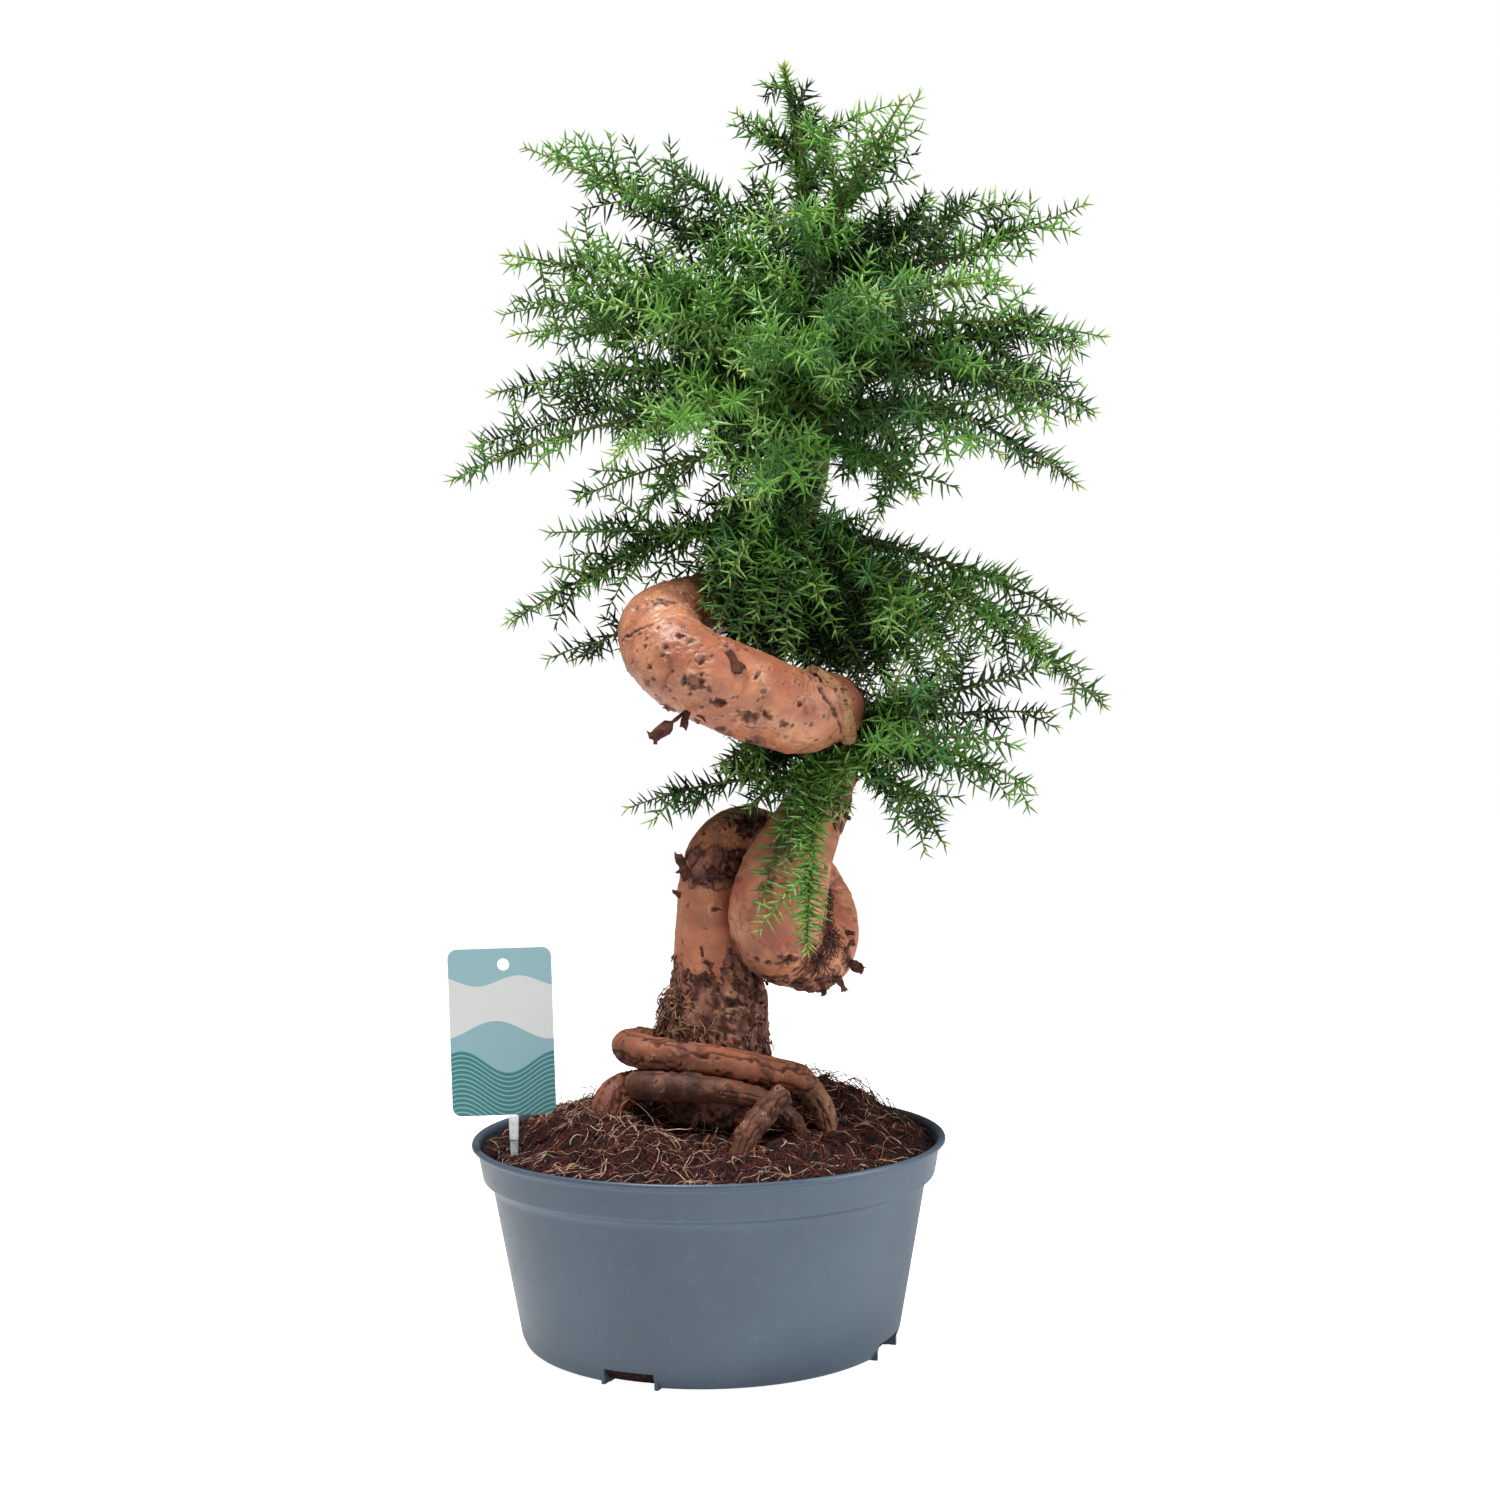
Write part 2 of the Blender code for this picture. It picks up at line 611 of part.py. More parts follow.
def side_twigs(name, axes, pieces, seed):
    """Each side twig as its line and width vector, where it keeps to its bough's space."""
    rng = random.Random(seed)
    axis = axes[name]
    run = np.concatenate(([0.0], np.cumsum(np.linalg.norm(np.diff(axis, axis=0), axis=1))))
    up = np.array((0.0, 0.0, 1.0))
    found = []
    s = run[-1] * TWIG_FROM
    turn = rng.choice((-1, 1))
    while s < run[-1] - 8.0:
        root = np.array([np.interp(s, run, axis[:, j]) for j in range(3)])
        ahead = np.array([np.interp(min(s + 3.0, run[-1]), run, axis[:, j]) for j in range(3)])
        forward = (ahead - root) / np.linalg.norm(ahead - root)
        level = np.cross(forward, up)
        level /= np.linalg.norm(level)
        over = np.cross(level, forward)
        roll = math.radians(rng.uniform(-38, 38)) + (0.0 if turn > 0 else math.pi)
        out = level * math.cos(roll) + over * math.sin(roll)
        angle = TWIG_ANGLE + math.radians(rng.uniform(-7, 7))
        grow = twig_length(s / run[-1]) * rng.uniform(0.85, 1.1)
        way = forward * math.cos(angle) + out * math.sin(angle)
        face_roll = math.radians(rng.uniform(20, 70)) * rng.choice((-1, 1))
        across = np.cross(way, over)
        across /= np.linalg.norm(across)
        third = np.cross(way, across)
        across = across * math.cos(face_roll) + third * math.sin(face_roll)
        for share in (1.0, 0.75, 0.5, 0.32):
            size = grow * share
            bend = forward * 0.16 - up * TWIG_SAG
            steps = (0.0, 0.25, 0.5, 0.75, 1.0)
            line = np.array([root + way * size * t + bend * size * t * t for t in steps])
            edges = np.vstack([line[1:], line[1:] + across * NEEDLE, line[1:] - across * NEEDLE])
            if not clear_of_limbs(line[:1], pieces, 3.0):
                break
            if in_own_space(edges, name, axes, pieces):
                found.append((line, across))
                break
        turn = -turn
        s += TWIG_STEP * rng.uniform(0.85, 1.15)
    return found


def make_foliage(pieces):
    mat = material("needles", NEEDLE_GREEN, 0.55)
    axes = bough_axes(pieces)
    made = []
    for seed, name in enumerate(axes):
        axis = axes[name]
        out = axis[-1] - axis[0]
        across = np.cross(np.cross(out, (0, 0, 1.0)), out)
        across /= np.linalg.norm(across)
        reach = float(np.linalg.norm(out))

        def free(points, name=name):
            return in_own_space(points, name, axes, pieces)

        origin = axis[0]
        rows = blade_sections(axis, across, NEEDLE, BODY, TOOTH, free)
        stem = object_from(blade(rows, across, max(1.4, reach / 95), origin), name, mat, origin)
        for limb, path in pieces.items():
            if not clear_of_limbs(axis[:4], {limb: path}, 2 * BODY):
                sides = LEADER_SIDES if limb == "leader" else TRUNK_SIDES
                room = tube(path, sides, grow=GAP + 0.1)
                boolean(stem, [object_from(room, "limb_room")], "DIFFERENCE")
        keep_largest(stem)
        sprays = []
        for line, width in side_twigs(name, axes, pieces, seed):
            size = float(np.linalg.norm(line[-1] - line[0]))
            rows = blade_sections(line, width, NEEDLE, BODY * 0.8, TOOTH * 0.85)
            spray = blade(rows, width, max(0.8, size / 70), origin)
            sprays.append(object_from(spray, "spray", None, origin))
        if sprays:
            boolean(stem, sprays, "UNION")
            keep_largest(stem)
        made.append(stem)
    return made


def build():
    clear_scene()
    plant = bpy.data.objects.new("potted_hoop_pine", None)
    bpy.context.scene.collection.objects.link(plant)
    pieces = trunk_pieces()
    made = [make_pot(), make_soil()]
    made += make_label()
    made += make_trunk(pieces)
    made += make_roots(pieces)
    made += make_foliage(pieces)
    for obj in made:
        obj.parent = plant


build()
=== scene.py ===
"""Looks of a young hoop pine with a knotted, trained trunk, in a low round plastic pot.

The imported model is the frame. Lengths are in millimetres, apart from the camera's and the
lamps', and a piece's mesh is scaled by MM when it is finished. The pot's front faces -Y.
"""

import itertools
import math
import random

import bmesh
import bpy
import numpy as np
from mathutils import Matrix, Vector


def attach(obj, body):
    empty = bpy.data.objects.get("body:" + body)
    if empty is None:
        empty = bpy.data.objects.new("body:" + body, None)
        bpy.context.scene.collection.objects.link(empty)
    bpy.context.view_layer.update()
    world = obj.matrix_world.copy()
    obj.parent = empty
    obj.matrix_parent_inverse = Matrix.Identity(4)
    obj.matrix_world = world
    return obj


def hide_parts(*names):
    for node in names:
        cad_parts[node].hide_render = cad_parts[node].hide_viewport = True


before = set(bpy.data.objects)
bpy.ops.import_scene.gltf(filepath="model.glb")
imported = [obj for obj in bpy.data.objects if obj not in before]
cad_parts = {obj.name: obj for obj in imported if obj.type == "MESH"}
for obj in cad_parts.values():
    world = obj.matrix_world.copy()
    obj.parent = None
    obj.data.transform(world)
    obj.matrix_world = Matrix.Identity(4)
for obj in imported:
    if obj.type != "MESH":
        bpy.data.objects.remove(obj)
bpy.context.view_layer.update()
scene = bpy.context.scene

MM = 0.001
UP = np.array((0.0, 0.0, 1.0))

# Camera, in metres and radians: level with the foot of the crown, where its frame of 1500
# pixels spans 855 mm at the trunk.
PHOTO = 1500
FOCAL_PIXELS = 2104
CAMERA_AT = (0.026, -1.2, 0.35)
CAMERA_PITCH = -0.0135
CAMERA_ROLL = -0.012
FLOOR_LIGHT = 0.2       # light thrown up by the white table
FLOOR_SEEN = 0.95       # and how white the camera sees it
ROOM_LIGHT = 0.13       # light of the white room, whose walls the camera sees as pure white

# Soft lamps: name, place and aim in metres, width in metres and watts.
LAMPS = [("key", (-0.4, -0.34, 1.9), (0.0, 0.0, 0.4), 0.55, 42.0),
         ("side", (1.6, -0.45, 0.85), (0.0, 0.0, 0.3), 0.9, 20.0),
         ("front", (0.0, -2.0, 0.7), (0.0, 0.0, 0.35), 1.4, 1.0)]

# Pot: a moulded bowl with a collar and a rolled lip.
POT_RIM_R = 135.0
POT_H = 115.0
POT_WALL = 1.7
POT_BASE_R = 107.7
COLLAR_R = 131.4
NECK_Z = 89.0
FLOOR_T = 2.0
CHANNEL_W = 29.0
CHANNEL_H = 9.0
CHANNEL_R0 = 45.0
CHANNEL_TURN = math.radians(67.0)
DRAIN_R = 4.5
DRAIN_AT = 78.0         # from the pot's axis, in each channel
POT_STEPS = 192

# Coir: a low mound with a flat seat under the trunk.
SOIL_EDGE_Z = 108.5
SOIL_R = 128.6
SEAT_Z = 126.0
SEAT_R = 38.0
SOIL_RINGS = 96
SOIL_STEPS = 440
# Coir heaped against the back wall: x, y, height and spread squared.
HEAPS = [(66, 50, 19.0, 1700.0), (-68, 48, 9.0, 1500.0)]
# Coir banked up against the roots: x, y, height and spread.
BANKS = [(-64, -38, 14, 26), (-30, -66, 6, 22), (46, -78, 5, 24), (84, -30, 7, 24), (-74, 6, 7, 26)]
# Loose fibres: name, dark and pale sRGB colours, and number.
FIBRES = [("coir_fibre_pale", "#8A5540", "#EDCCAE", 580),
          ("coir_fibre_rust", "#3C110A", "#7E3320", 1050),
          ("coir_fibre_dark", "#1B0E0B", "#3F241B", 700)]
FIBRE_REACH = 124.0
FIBRE_STEPS = 7
TUFT = (78, 42, 700.0)          # fluffy tuft on the back heap: x, y and spread squared
CRUMBS = 900
CRUMB_REACH = 126.0

# Label on a stick.
LABEL_W = 57.0
LABEL_H = 92.0
LABEL_T = 0.9
LABEL_CORNER = 5.0
LABEL_HOLE_R = 3.3
LABEL_AT = (-111.5, -44.0, 135.0)
LABEL_TURN = math.radians(-1.2)
STRIPE_STEP = 2.6       # of the stripes under the card's lowest line
STRIPE_W = 0.7
STICK_W = 5.6
STICK_T = 1.6
STICK_FOOT = 87.0
STICK_GAP = 0.3         # clear of the card
STICK_SHIFT = 5.0       # right of the card's middle

# Trunk: x, y, z and radius of its middle line at the turns of the knot.
TRUNK_ROUTE = {
    "trunk_foot": [(4, 0, 126.3, 36), (4, 0, 142, 33), (4, 0, 160, 31), (4, 0, 192, 28),
                   (2, 0, 215, 21.5), (2, 0, 240, 19)],
    "trunk_fold": [(4, 1, 262, 18), (10, 5, 279, 16.5), (24, 16, 286, 15.5),
                   (42, 26, 277, 15.5), (60, 28, 258, 16.5)],
    "trunk_lobe": [(69, 18, 236, 18), (62, -6, 218, 20.5), (43, -26, 232, 27),
                   (43, -29, 256, 26), (52, -22, 281, 21.5)],
    "trunk_riser": [(64, -11, 303, 17.5), (73, -3, 324, 15), (75, -8, 342, 14), (70, -20, 352, 12)],
    "trunk_strand": [(82, -15, 359, 9), (76, -22, 358, 16.5), (66, -33, 357, 21), (50, -43, 356, 23),
                     (18, -50, 367, 24.5), (-8, -48, 380, 25)],
    "trunk_curl": [(-21, -32, 393, 24.5), (-23, -6, 404, 23.5), (-10, 20, 413, 21)],
    "trunk_back": [(17, 35, 427, 16.5), (42, 32, 448, 12)],
    "leader": [(58, 22, 474, 9.6), (66, 12, 505, 8.8), (68, 2, 545, 7.8), (66, 0, 589, 6.3),
               (61, 0, 646, 4.4), (56, 0, 690, 2.8), (50, 0, 720, 1.0)],
}
KNOT_BREAK = "trunk_strand"     # the riser stops under the front strand
SOLID_STEP = 13.0               # spacing of the route in the part's own solids
TRUNK_BASE = [(4, 0, 123.5, 36.6), (4, 0, 125, 36.3)]       # sunk in the coir
TRUNK_DOME = 7.0                # how far the strand's blunt end bulges
BARK_STEP = 0.9                 # between the rings of a swept limb
BARK_SIDES = 176
LEADER_SIDES = 36
ROOT_STEP = 0.9
ROOT_SIDES = 60

# Surface roots that wrap the foot: x, y, z and radius along each.
ROOTS = {
    "root_upper": [(-18, 24, 161, 8), (-38, 14, 165, 9), (-45, -12, 167, 9.5), (-33, -34, 167, 9.5),
                   (-4, -42, 164, 9), (27, -41, 158, 8.7), (43, -38, 154, 8.5), (52, -35, 151, 8),
                   (57, -28, 148, 5)],
    "root_lower": [(-24, -18, 150, 6), (-37, -38, 150, 8), (-5, -53, 150, 7.7), (28, -53, 144, 6),
                   (46, -48, 131, 6), (52, -45, 116, 5)],
    "root_stub": [(-20, -2, 144, 9), (-42, -12, 144, 9.5), (-52, -22, 140, 10.5), (-56, -27, 130, 10.5),
                  (-57, -28, 112, 9)],
    "root_front": [(42, -51, 146, 6.5), (31, -61, 137, 7.5), (22, -70, 127, 7), (15, -77, 110, 6)],
    "root_right": [(24, 6, 154, 9), (42, -12, 148, 9), (54, -23, 146, 8), (60, -29, 140, 7.4),
                   (65, -31, 130, 6.4), (67, -32, 112, 5)],
}
SHADED_ROOTS = ("root_lower", "root_front")       # painted shade: a darker copy of the bark for the roots that lie in shade
PALE_ROOT = "root_right"                        # its cut end has dried out

# The trunk's foot: its middle line, and from where to where going down or inwards old bark,
# splits and the foot itself take over from the smooth skin and the lobe.
FOOT_X = 4.0
OLD_BARK_FROM = (236.0, 200.0)
SPLITS_FROM = (215.0, 192.0)
FOOT_WITHIN = (37.0, 33.0)      # of the middle line
LOBE_ABOVE = (185.0, 170.0)
# Places on the trunk that are unlike the rest: x, y, z and radius of each.
OLD_BARK = [(-9, -12, 268, 13), (6, -18, 267, 13), (20, -12, 269, 11), (62, -24, 195, 15),
            (40, -38, 206, 7), (53, -34, 201, 8), (29, -36, 210, 5), (78, -26, 207, 8),
            # The old bark at (84, -24, 368), right of the strand's end, also serves as painted shade
            # there.
            (33, -4, 294, 13), (79, -22, 350, 13), (84, -24, 368, 11), (78, -20, 300, 13),
            (82, -20, 215, 9), (-16, -52, 360, 6), (0, -56, 353, 6), (12, -58, 346, 5),
            (30, -58, 339, 5)]
RUGGED = ((4, 0, 195, 46), (62, -24, 195, 18))      # where old bark stands out most
# The holes are painted dark inside, part dark bark and part painted shade.
DARK_HOLES = [(-20, -42, 421, 6.5), (-4, -74, 372, 5), (25, -72, 351, 5), (-4, -72, 394, 3.4),
              (17, -28, 193, 5), (10, -72, 360, 3.4), (66, -38, 268, 4.0), (27, -8, 296, 7.0),
              (24, -6, 288, 6.0), (47, -54, 217, 4.0), (-10, -70, 398, 2.6), (-30, -66, 379, 2.4),
              (-33, -62, 370, 2.6), (44, -68, 348, 2.4), (33, -70, 366, 2.0)]
HOLE_NEAR = 9.0                 # a limb further off than this has no part in a hole
# Cracks in the bark: x, y, z along each.
CRACKS = [[(-46, -38, 396), (-42, -48, 398), (-34, -56, 402), (-23, -58, 408)],
          [(16, -46, 219), (30, -53, 214), (48, -53, 216)],
          [(52, -52, 209), (47, -50, 204), (40, -44, 200)],
          [(59, -56, 376), (66, -56, 361), (70, -50, 353), (73, -44, 346)],
          [(75, -30, 274), (71, -36, 252), (67, -44, 232), (58, -50, 216)]]
CRACK_NEAR = 12.0
# Loose flakes of bark: foot, the way it lies, the way it faces, length, width, how far its
# free end curls towards the way it faces, and the share of its length that is a thin neck.
FLAKE_T = 0.4
FLAKES = [((-13, -14, 262), (-0.3, 0, 1), (-0.3, -1, 0), 17, 8, 0.1, 0),
          ((-17, -10, 252), (-0.8, 0, 0.6), (-0.4, -1, 0), 6, 4, 0.3, 0),
          ((13, -71, 388), (0.6, -0.1, -0.8), (0, -1, 0.3), 15, 10, 0.25, 0),
          ((-8, -60, 358), (-0.75, -0.1, -0.6), (0.2, -1, 0.2), 26, 13, 0.12, 0.45),
          ((-7, -60, 358), (-0.25, -0.1, -1), (0.2, -1, 0.1), 11, 6, 0.15, 0),
          ((74, -24, 203), (0.35, 0, -1), (0.6, -1, 0), 10, 6, 0.3, 0),
          ((82, -18, 213), (0.9, 0, -0.5), (0, -1, -0.3), 10, 8, 0.2, 0),
          ((66, -30, 199), (0.2, 0, -1), (0, -1, 0), 7, 5, 0.5, 0),
          ((84, -12, 234), (1, 0, -0.2), (0, -1, 0.3), 6, 4, 0.2, 0),
          ((84, -12, 226), (1, 0, -0.5), (0, -1, 0.3), 4, 3, 0.2, 0)]
# Ragged roll of bark over the strand's end: x, y, z and radius along it.
COLLAR = [(57, -45, 385, 2.4), (65, -50, 377, 3.6), (71, -49, 366, 4.2), (74, -44, 355, 4.2),
          (78, -36, 346, 4.2), (80, -28, 340, 3.0)]
COLLAR_STEP = 0.6
# Wiry rootlets on the bark: x, y, z, spread of their feet, number, and least and most length.
PALE_HAIRS = [(-24, -12, 188, 13, 60, 12, 38), (-12, -24, 172, 13, 44, 12, 34),
              (30, -26, 172, 14, 12, 8, 22)]
DARK_HAIRS = [(-24, -12, 180, 13, 40, 10, 30), (71, -28, 250, 4, 40, 8, 22),
              (69, -34, 232, 5, 60, 10, 28), (64, -42, 218, 6, 36, 8, 22), (34, -22, 170, 14, 30, 8, 22)]
HAIR_STEPS = 6
SCATTERED_FLAKES = 240

# Boughs on the leader: height, bearing, reach, rise at the tip, lift at the foot.
# A bearing of 0 is +X, 90 is +Y and 270 is towards the front.
BOUGHS = {
    "foliage_top_left": (668, 200, 42, 26, 24),
    "foliage_top_right": (676, 20, 38, 22, 20),
    "foliage_top_front": (648, 290, 48, 30, 30),
    "foliage_left_1": (596, 166, 173, 93, 110),
    "foliage_left_2": (612, 145, 112, 74, 80),
    "foliage_left_3": (574, 193, 176, 34, 52),
    "foliage_left_4": (560, 180, 172, 12, 48),
    "foliage_left_5": (545, 167, 196, 1, 40),
    "foliage_left_6": (524, 188, 208, -37, 30),
    "foliage_left_7": (502, 170, 140, -20, 25),
    "foliage_left_8": (470, 178, 168, -60, -8),
    "foliage_right_1": (618, 325, 62, 74, 70),
    "foliage_right_2": (586, 6, 158, 60, 52),
    "foliage_right_3": (596, 32, 138, 44, 44),
    "foliage_right_4": (582, 335, 116, 4, 32),
    "foliage_right_5": (565, 353, 160, -2, 40),
    "foliage_right_6": (552, 14, 168, -22, 38),
    "foliage_right_7": (546, 338, 146, -34, 34),
    "foliage_right_8": (528, 355, 146, -46, 30),
    "foliage_right_9": (522, 322, 126, -34, 26),
    "foliage_right_10": (506, 308, 90, -42, 14),
    "foliage_front_1": (604, 262, 88, 14, 44),
    "foliage_front_2": (572, 286, 116, -8, 36),
    "foliage_front_3": (548, 250, 124, -18, 34),
    "foliage_front_4": (526, 226, 156, -34, 30),
    "foliage_front_5": (500, 250, 110, -34, 24),
    "foliage_back_1": (608, 74, 112, 48, 58),
    "foliage_back_2": (584, 112, 140, 26, 48),
    "foliage_back_3": (566, 62, 150, 2, 42),
    "foliage_back_4": (540, 96, 152, -16, 34),
    "foliage_back_5": (520, 132, 158, -36, 28),
    "foliage_back_6": (508, 52, 150, -52, 24),
    "foliage_back_7": (488, 92, 140, -66, 12),
}
# Boughs on the knot: x, y, z and radius of the trunk there, then as above.
LOW_BOUGHS = {
    "foliage_mid_1": (52, 27, 460, 10.5, 353, 165, -54, -14),
    "foliage_mid_2": (47, 30, 454, 11, 342, 186, -98, -18),
    "foliage_mid_3": (54, 25, 465, 10, 25, 150, -60, -6),
    "foliage_mid_4": (50, 29, 458, 11, 318, 118, -80, -8),
    "foliage_low_1": (75, -7, 336, 14, 342, 112, -24, 14),
    "foliage_low_2": (73, -4, 324, 15, 318, 78, -42, 14),
    "foliage_low_3": (69, -5, 316, 15.5, 183, 112, -14, 14),
    "foliage_low_4": (66, -8, 309, 16.5, 262, 80, -80, 18),
    "foliage_low_5": (-17, 12, 410, 22, 160, 62, -22, -2),
    "foliage_low_6": (75, -7, 341, 14, 12, 128, 12, 34),
}
BOUGH_STEPS = 26

# The solids' own side twigs.
TEETH = 9.0             # reach of a solid blade's teeth, which bounds a mass's space
TWIG_FROM = 0.2         # bare share of a bough
TWIG_STEP = 25.0
TWIG_LENGTH = 50.0
TWIG_ANGLE = math.radians(52.0)
TWIG_SAG = 0.10         # drop of a twig's tip for each length
SPACE = 1.2             # least gap between two masses

# Finer twigs between the ones above, and the needles on all of them.
FINE_FROM = 0.08
FINE_STEP = 8.5
FINE_LENGTH = 46.0
FINE_SHARE = 0.42       # longest fine twig for each length of its bough
FINE_OVERLAP = 7.0      # how far a fine twig may reach into the space of another bough
BARE_END = 40.0         # last stretch of a bough, which has needles only
THICKER = {"foliage_right_1": 0.8}      # radius that a bough has more than the others
NEEDLE_LENGTH = 13.0
NEEDLE_WIDTH = 1.95
NEEDLE_TURN = math.radians(137.5)
BUD = 8.0               # last stretch of a twig, where needles close together
# Length of twig for each needle, and the stretch over which needles shorten towards the tip.
NEEDLE_PITCH = 1.7
TWIG_EASE = 15.0
DARK_PITCH = 1.0        # of the small boughs deep in the shade
BOUGH_PITCH = 1.3
BOUGH_EASE = 55.0
HANGING_PITCH = 0.7     # of the bough that hangs close in front of the lobe
HANGING_EASE = 20.0
LEADER_PITCH = 0.34
LEADER_EASE = 90.0
PIECE_NEEDLES = 15000   # most needles in one piece
END_ON = 0.75           # share of a twig's length towards the camera that makes it end on
# Small boughs that fill the crown's inside: limb, number, lowest and highest place along
# it, least and most reach, least and most rise for each length of reach, middle bearing
# in degrees and how far either side of it they point.
INNER_BOUGHS = [("leader", 28, 0.22, 0.56, 50, 106, -0.12, 0.30, 0, 180),
                ("leader", 10, 0.02, 0.24, 34, 58, -0.45, 0.1, 200, 110),
                ("leader", 9, 0.55, 0.97, 12, 30, 0.2, 0.8, 0, 180),
                ("leader", 9, 0.26, 0.5, 108, 150, -0.1, 0.25, 180, 42),
                ("trunk_back", 15, 0.05, 0.98, 46, 88, -0.85, -0.25, -75, 85),
                ("trunk_back", 5, 0.2, 0.9, 40, 80, -0.4, 0.1, 120, 60),
                ("trunk_riser", 8, 0.5, 0.98, 80, 138, 0.05, 0.45, -5, 45),
                ("trunk_riser", 4, 0.3, 0.7, 30, 60, -0.3, 0.1, -60, 90)]
# Single small boughs by limb: place along it, bearing, reach, rise at the tip, lift at the foot.
# Their order seeds their twigs and greens.
SINGLE_BOUGHS = [
    ("trunk_back", [(0.35, 15, 70, -62, 0), (0.6, 350, 95, -72, -5), (0.8, 8, 132, -62, 0),
                    (0.9, 355, 62, -40, 5), (0.2, 330, 55, -30, 5), (0.15, 12, 46, -46, 0),
                    (0.05, 352, 52, -34, -10), (0.3, 28, 44, -52, 0), (0.45, 5, 62, -50, -4),
                    (0.9, 350, 100, -66, -10), (0.7, 20, 120, -72, 0), (0.95, 178, 140, 4, 10),
                    (0.5, 268, 62, -16, 12), (0.7, 240, 66, -20, 14), (0.9, 285, 70, -40, 10),
                    (0.3, 250, 48, -6, 14)]),
    ("leader", [(0.02, 222, 88, -48, 6)]),
    ("trunk_back", [(0.95, 232, 62, -26, 8), (0.85, 215, 50, -22, 6)]),
    ("leader", [(0.05, 238, 80, -44, 4)]),
    ("trunk_back", [(0.3, 300, 40, -52, -10), (0.1, 320, 44, -50, -10), (0.6, 290, 44, -64, -14),
                    (0.75, 310, 50, -78, -16), (0.45, 345, 46, -72, -18), (0.9, 320, 54, -84, -10),
                    (0.1, 280, 54, -46, -6), (0.25, 275, 50, -44, -6), (0.4, 285, 52, -56, -8),
                    (0.6, 335, 62, -84, -10), (0.8, 345, 72, -92, -10), (0.95, 350, 84, -104, -8)]),
    ("leader", [(0.02, 228, 76, -40, 2), (0.03, 215, 80, -52, 0), (0.0, 244, 72, -66, -6),
                (0.01, 236, 78, -60, 0), (0.03, 248, 66, -58, 0)]),
    ("trunk_riser", [(0.8, 178, 52, -6, 8), (0.7, 168, 60, -14, 8), (0.9, 185, 62, -22, 4),
                     (0.85, 160, 70, -20, 2), (0.6, 172, 64, -8, 6), (0.75, 150, 60, -6, 4),
                     (0.6, 290, 42, -6, 14), (0.7, 310, 48, -10, 12), (0.65, 275, 44, -16, 10),
                     (0.8, 330, 60, 0, 12), (0.85, 10, 70, 20, 26), (0.9, 350, 64, 8, 22),
                     (0.8, 30, 66, 4, 24), (0.95, 340, 52, 18, 24)]),
    ("trunk_back", [(0.7, 352, 66, -70, -6), (0.85, 345, 58, -72, -6), (0.5, 350, 64, -62, -8)]),
    ("trunk_riser", [(0.75, 250, 44, -26, 6), (0.65, 235, 46, -20, 4), (0.7, 262, 40, -30, 2),
                     (0.55, 225, 44, -16, 6), (0.75, 172, 58, 16, 14), (0.6, 160, 70, 22, 10)]),
    ("leader", [(0.11, 209, 70, -71, 12), (0.12, 212, 66, -72, 12), (0.08, 216, 64, -66, 8),
                (0.14, 207, 70, -76, 14), (0.1, 222, 60, -70, 8), (0.16, 214, 72, -84, 12),
                (0.06, 228, 58, -70, 4), (0.1, 236, 60, -86, 4), (0.12, 246, 58, -92, 4),
                (0.08, 256, 56, -92, 2)]),
    ("trunk_riser", [(0.6, 233, 72, -80, 8), (0.7, 245, 58, -58, 8), (0.65, 252, 50, -50, 6),
                     (0.75, 240, 62, -68, 8), (0.7, 270, 44, -38, 8), (0.6, 245, 50, -34, 8)]),
    ("trunk_back", [(0.2, 315, 36, -48, -8), (0.35, 325, 44, -50, -8), (0.5, 330, 52, -56, -8),
                    (0.65, 335, 50, -64, -8), (0.8, 320, 44, -68, -10), (0.3, 290, 34, -44, -8),
                    (0.4, 305, 40, -46, -8), (0.55, 315, 44, -54, -8), (0.7, 300, 40, -58, -8),
                    (0.1, 300, 40, -36, -6), (0.7, 358, 84, -66, -6), (0.9, 352, 78, -70, -4),
                    (0.15, 308, 38, -52, -8), (0.25, 302, 38, -52, -8), (0.45, 318, 44, -62, -10),
                    (0.6, 325, 46, -68, -10), (0.8, 345, 70, -80, -8), (0.65, 350, 68, -74, -8)]),
    ("trunk_riser", [(0.9, 20, 44, 16, 20), (0.85, 190, 40, 2, 8), (0.9, 165, 50, -4, 6)]),
    ("leader", [(0.46, 196, 150, 14, 40), (0.4, 174, 176, 34, 50), (0.44, 186, 178, 8, 62),
                (0.29, 178, 198, -22, 28), (0.53, 168, 112, 52, 60), (0.5, 8, 122, 60, 108),
                (0.52, 350, 66, 50, 40), (0.38, 0, 150, 8, 40), (0.33, 5, 150, -12, 40),
                (0.6, 335, 66, 82, 70)])]

# Bays of sky in the crown as the camera sees them at the trunk: x, z and half the width and
# height of each. Twigs and small boughs that would reach into one are left out, and a bough
# that would end in one stops before it.
BAYS = [(150, 458, 46, 23), (92, 478, 10, 9), (160, 358, 17, 11), (-77, 508, 26, 10),
        (-17, 497, 20, 13), (10, 663, 16, 16), (13, 699, 9, 10), (158, 492, 26, 8),
        (146, 611, 18, 7), (-18, 336, 16, 9)]
HANGING_BOUGH = "foliage_low_4"     # hangs in front of the lobe, with twigs on its left only
# Short twigs that stand up from a bough, or hang where their length is negative: place along
# the bough and length.
STANDING_TWIGS = {
    "foliage_left_1": [(0.67, 30), (0.45, 40), (0.84, 15)],
    "foliage_left_3": [(0.72, 30), (0.5, 30), (0.9, -24), (0.8, -18)],
    "foliage_right_2": [(0.43, 38), (0.6, 28), (0.77, 17)],
    "foliage_left_7": [(0.6, 30)],
    "foliage_left_4": [(0.86, 18)],
    "foliage_left_6": [(0.8, 26), (0.9, 18)],
    "foliage_left_5": [(0.86, -24), (0.94, -14)],
    "foliage_right_5": [(0.8, -24), (0.9, -18)],
    "foliage_right_6": [(0.85, 20), (0.75, -22)],
    "foliage_mid_2": [(0.9, -20)],
}
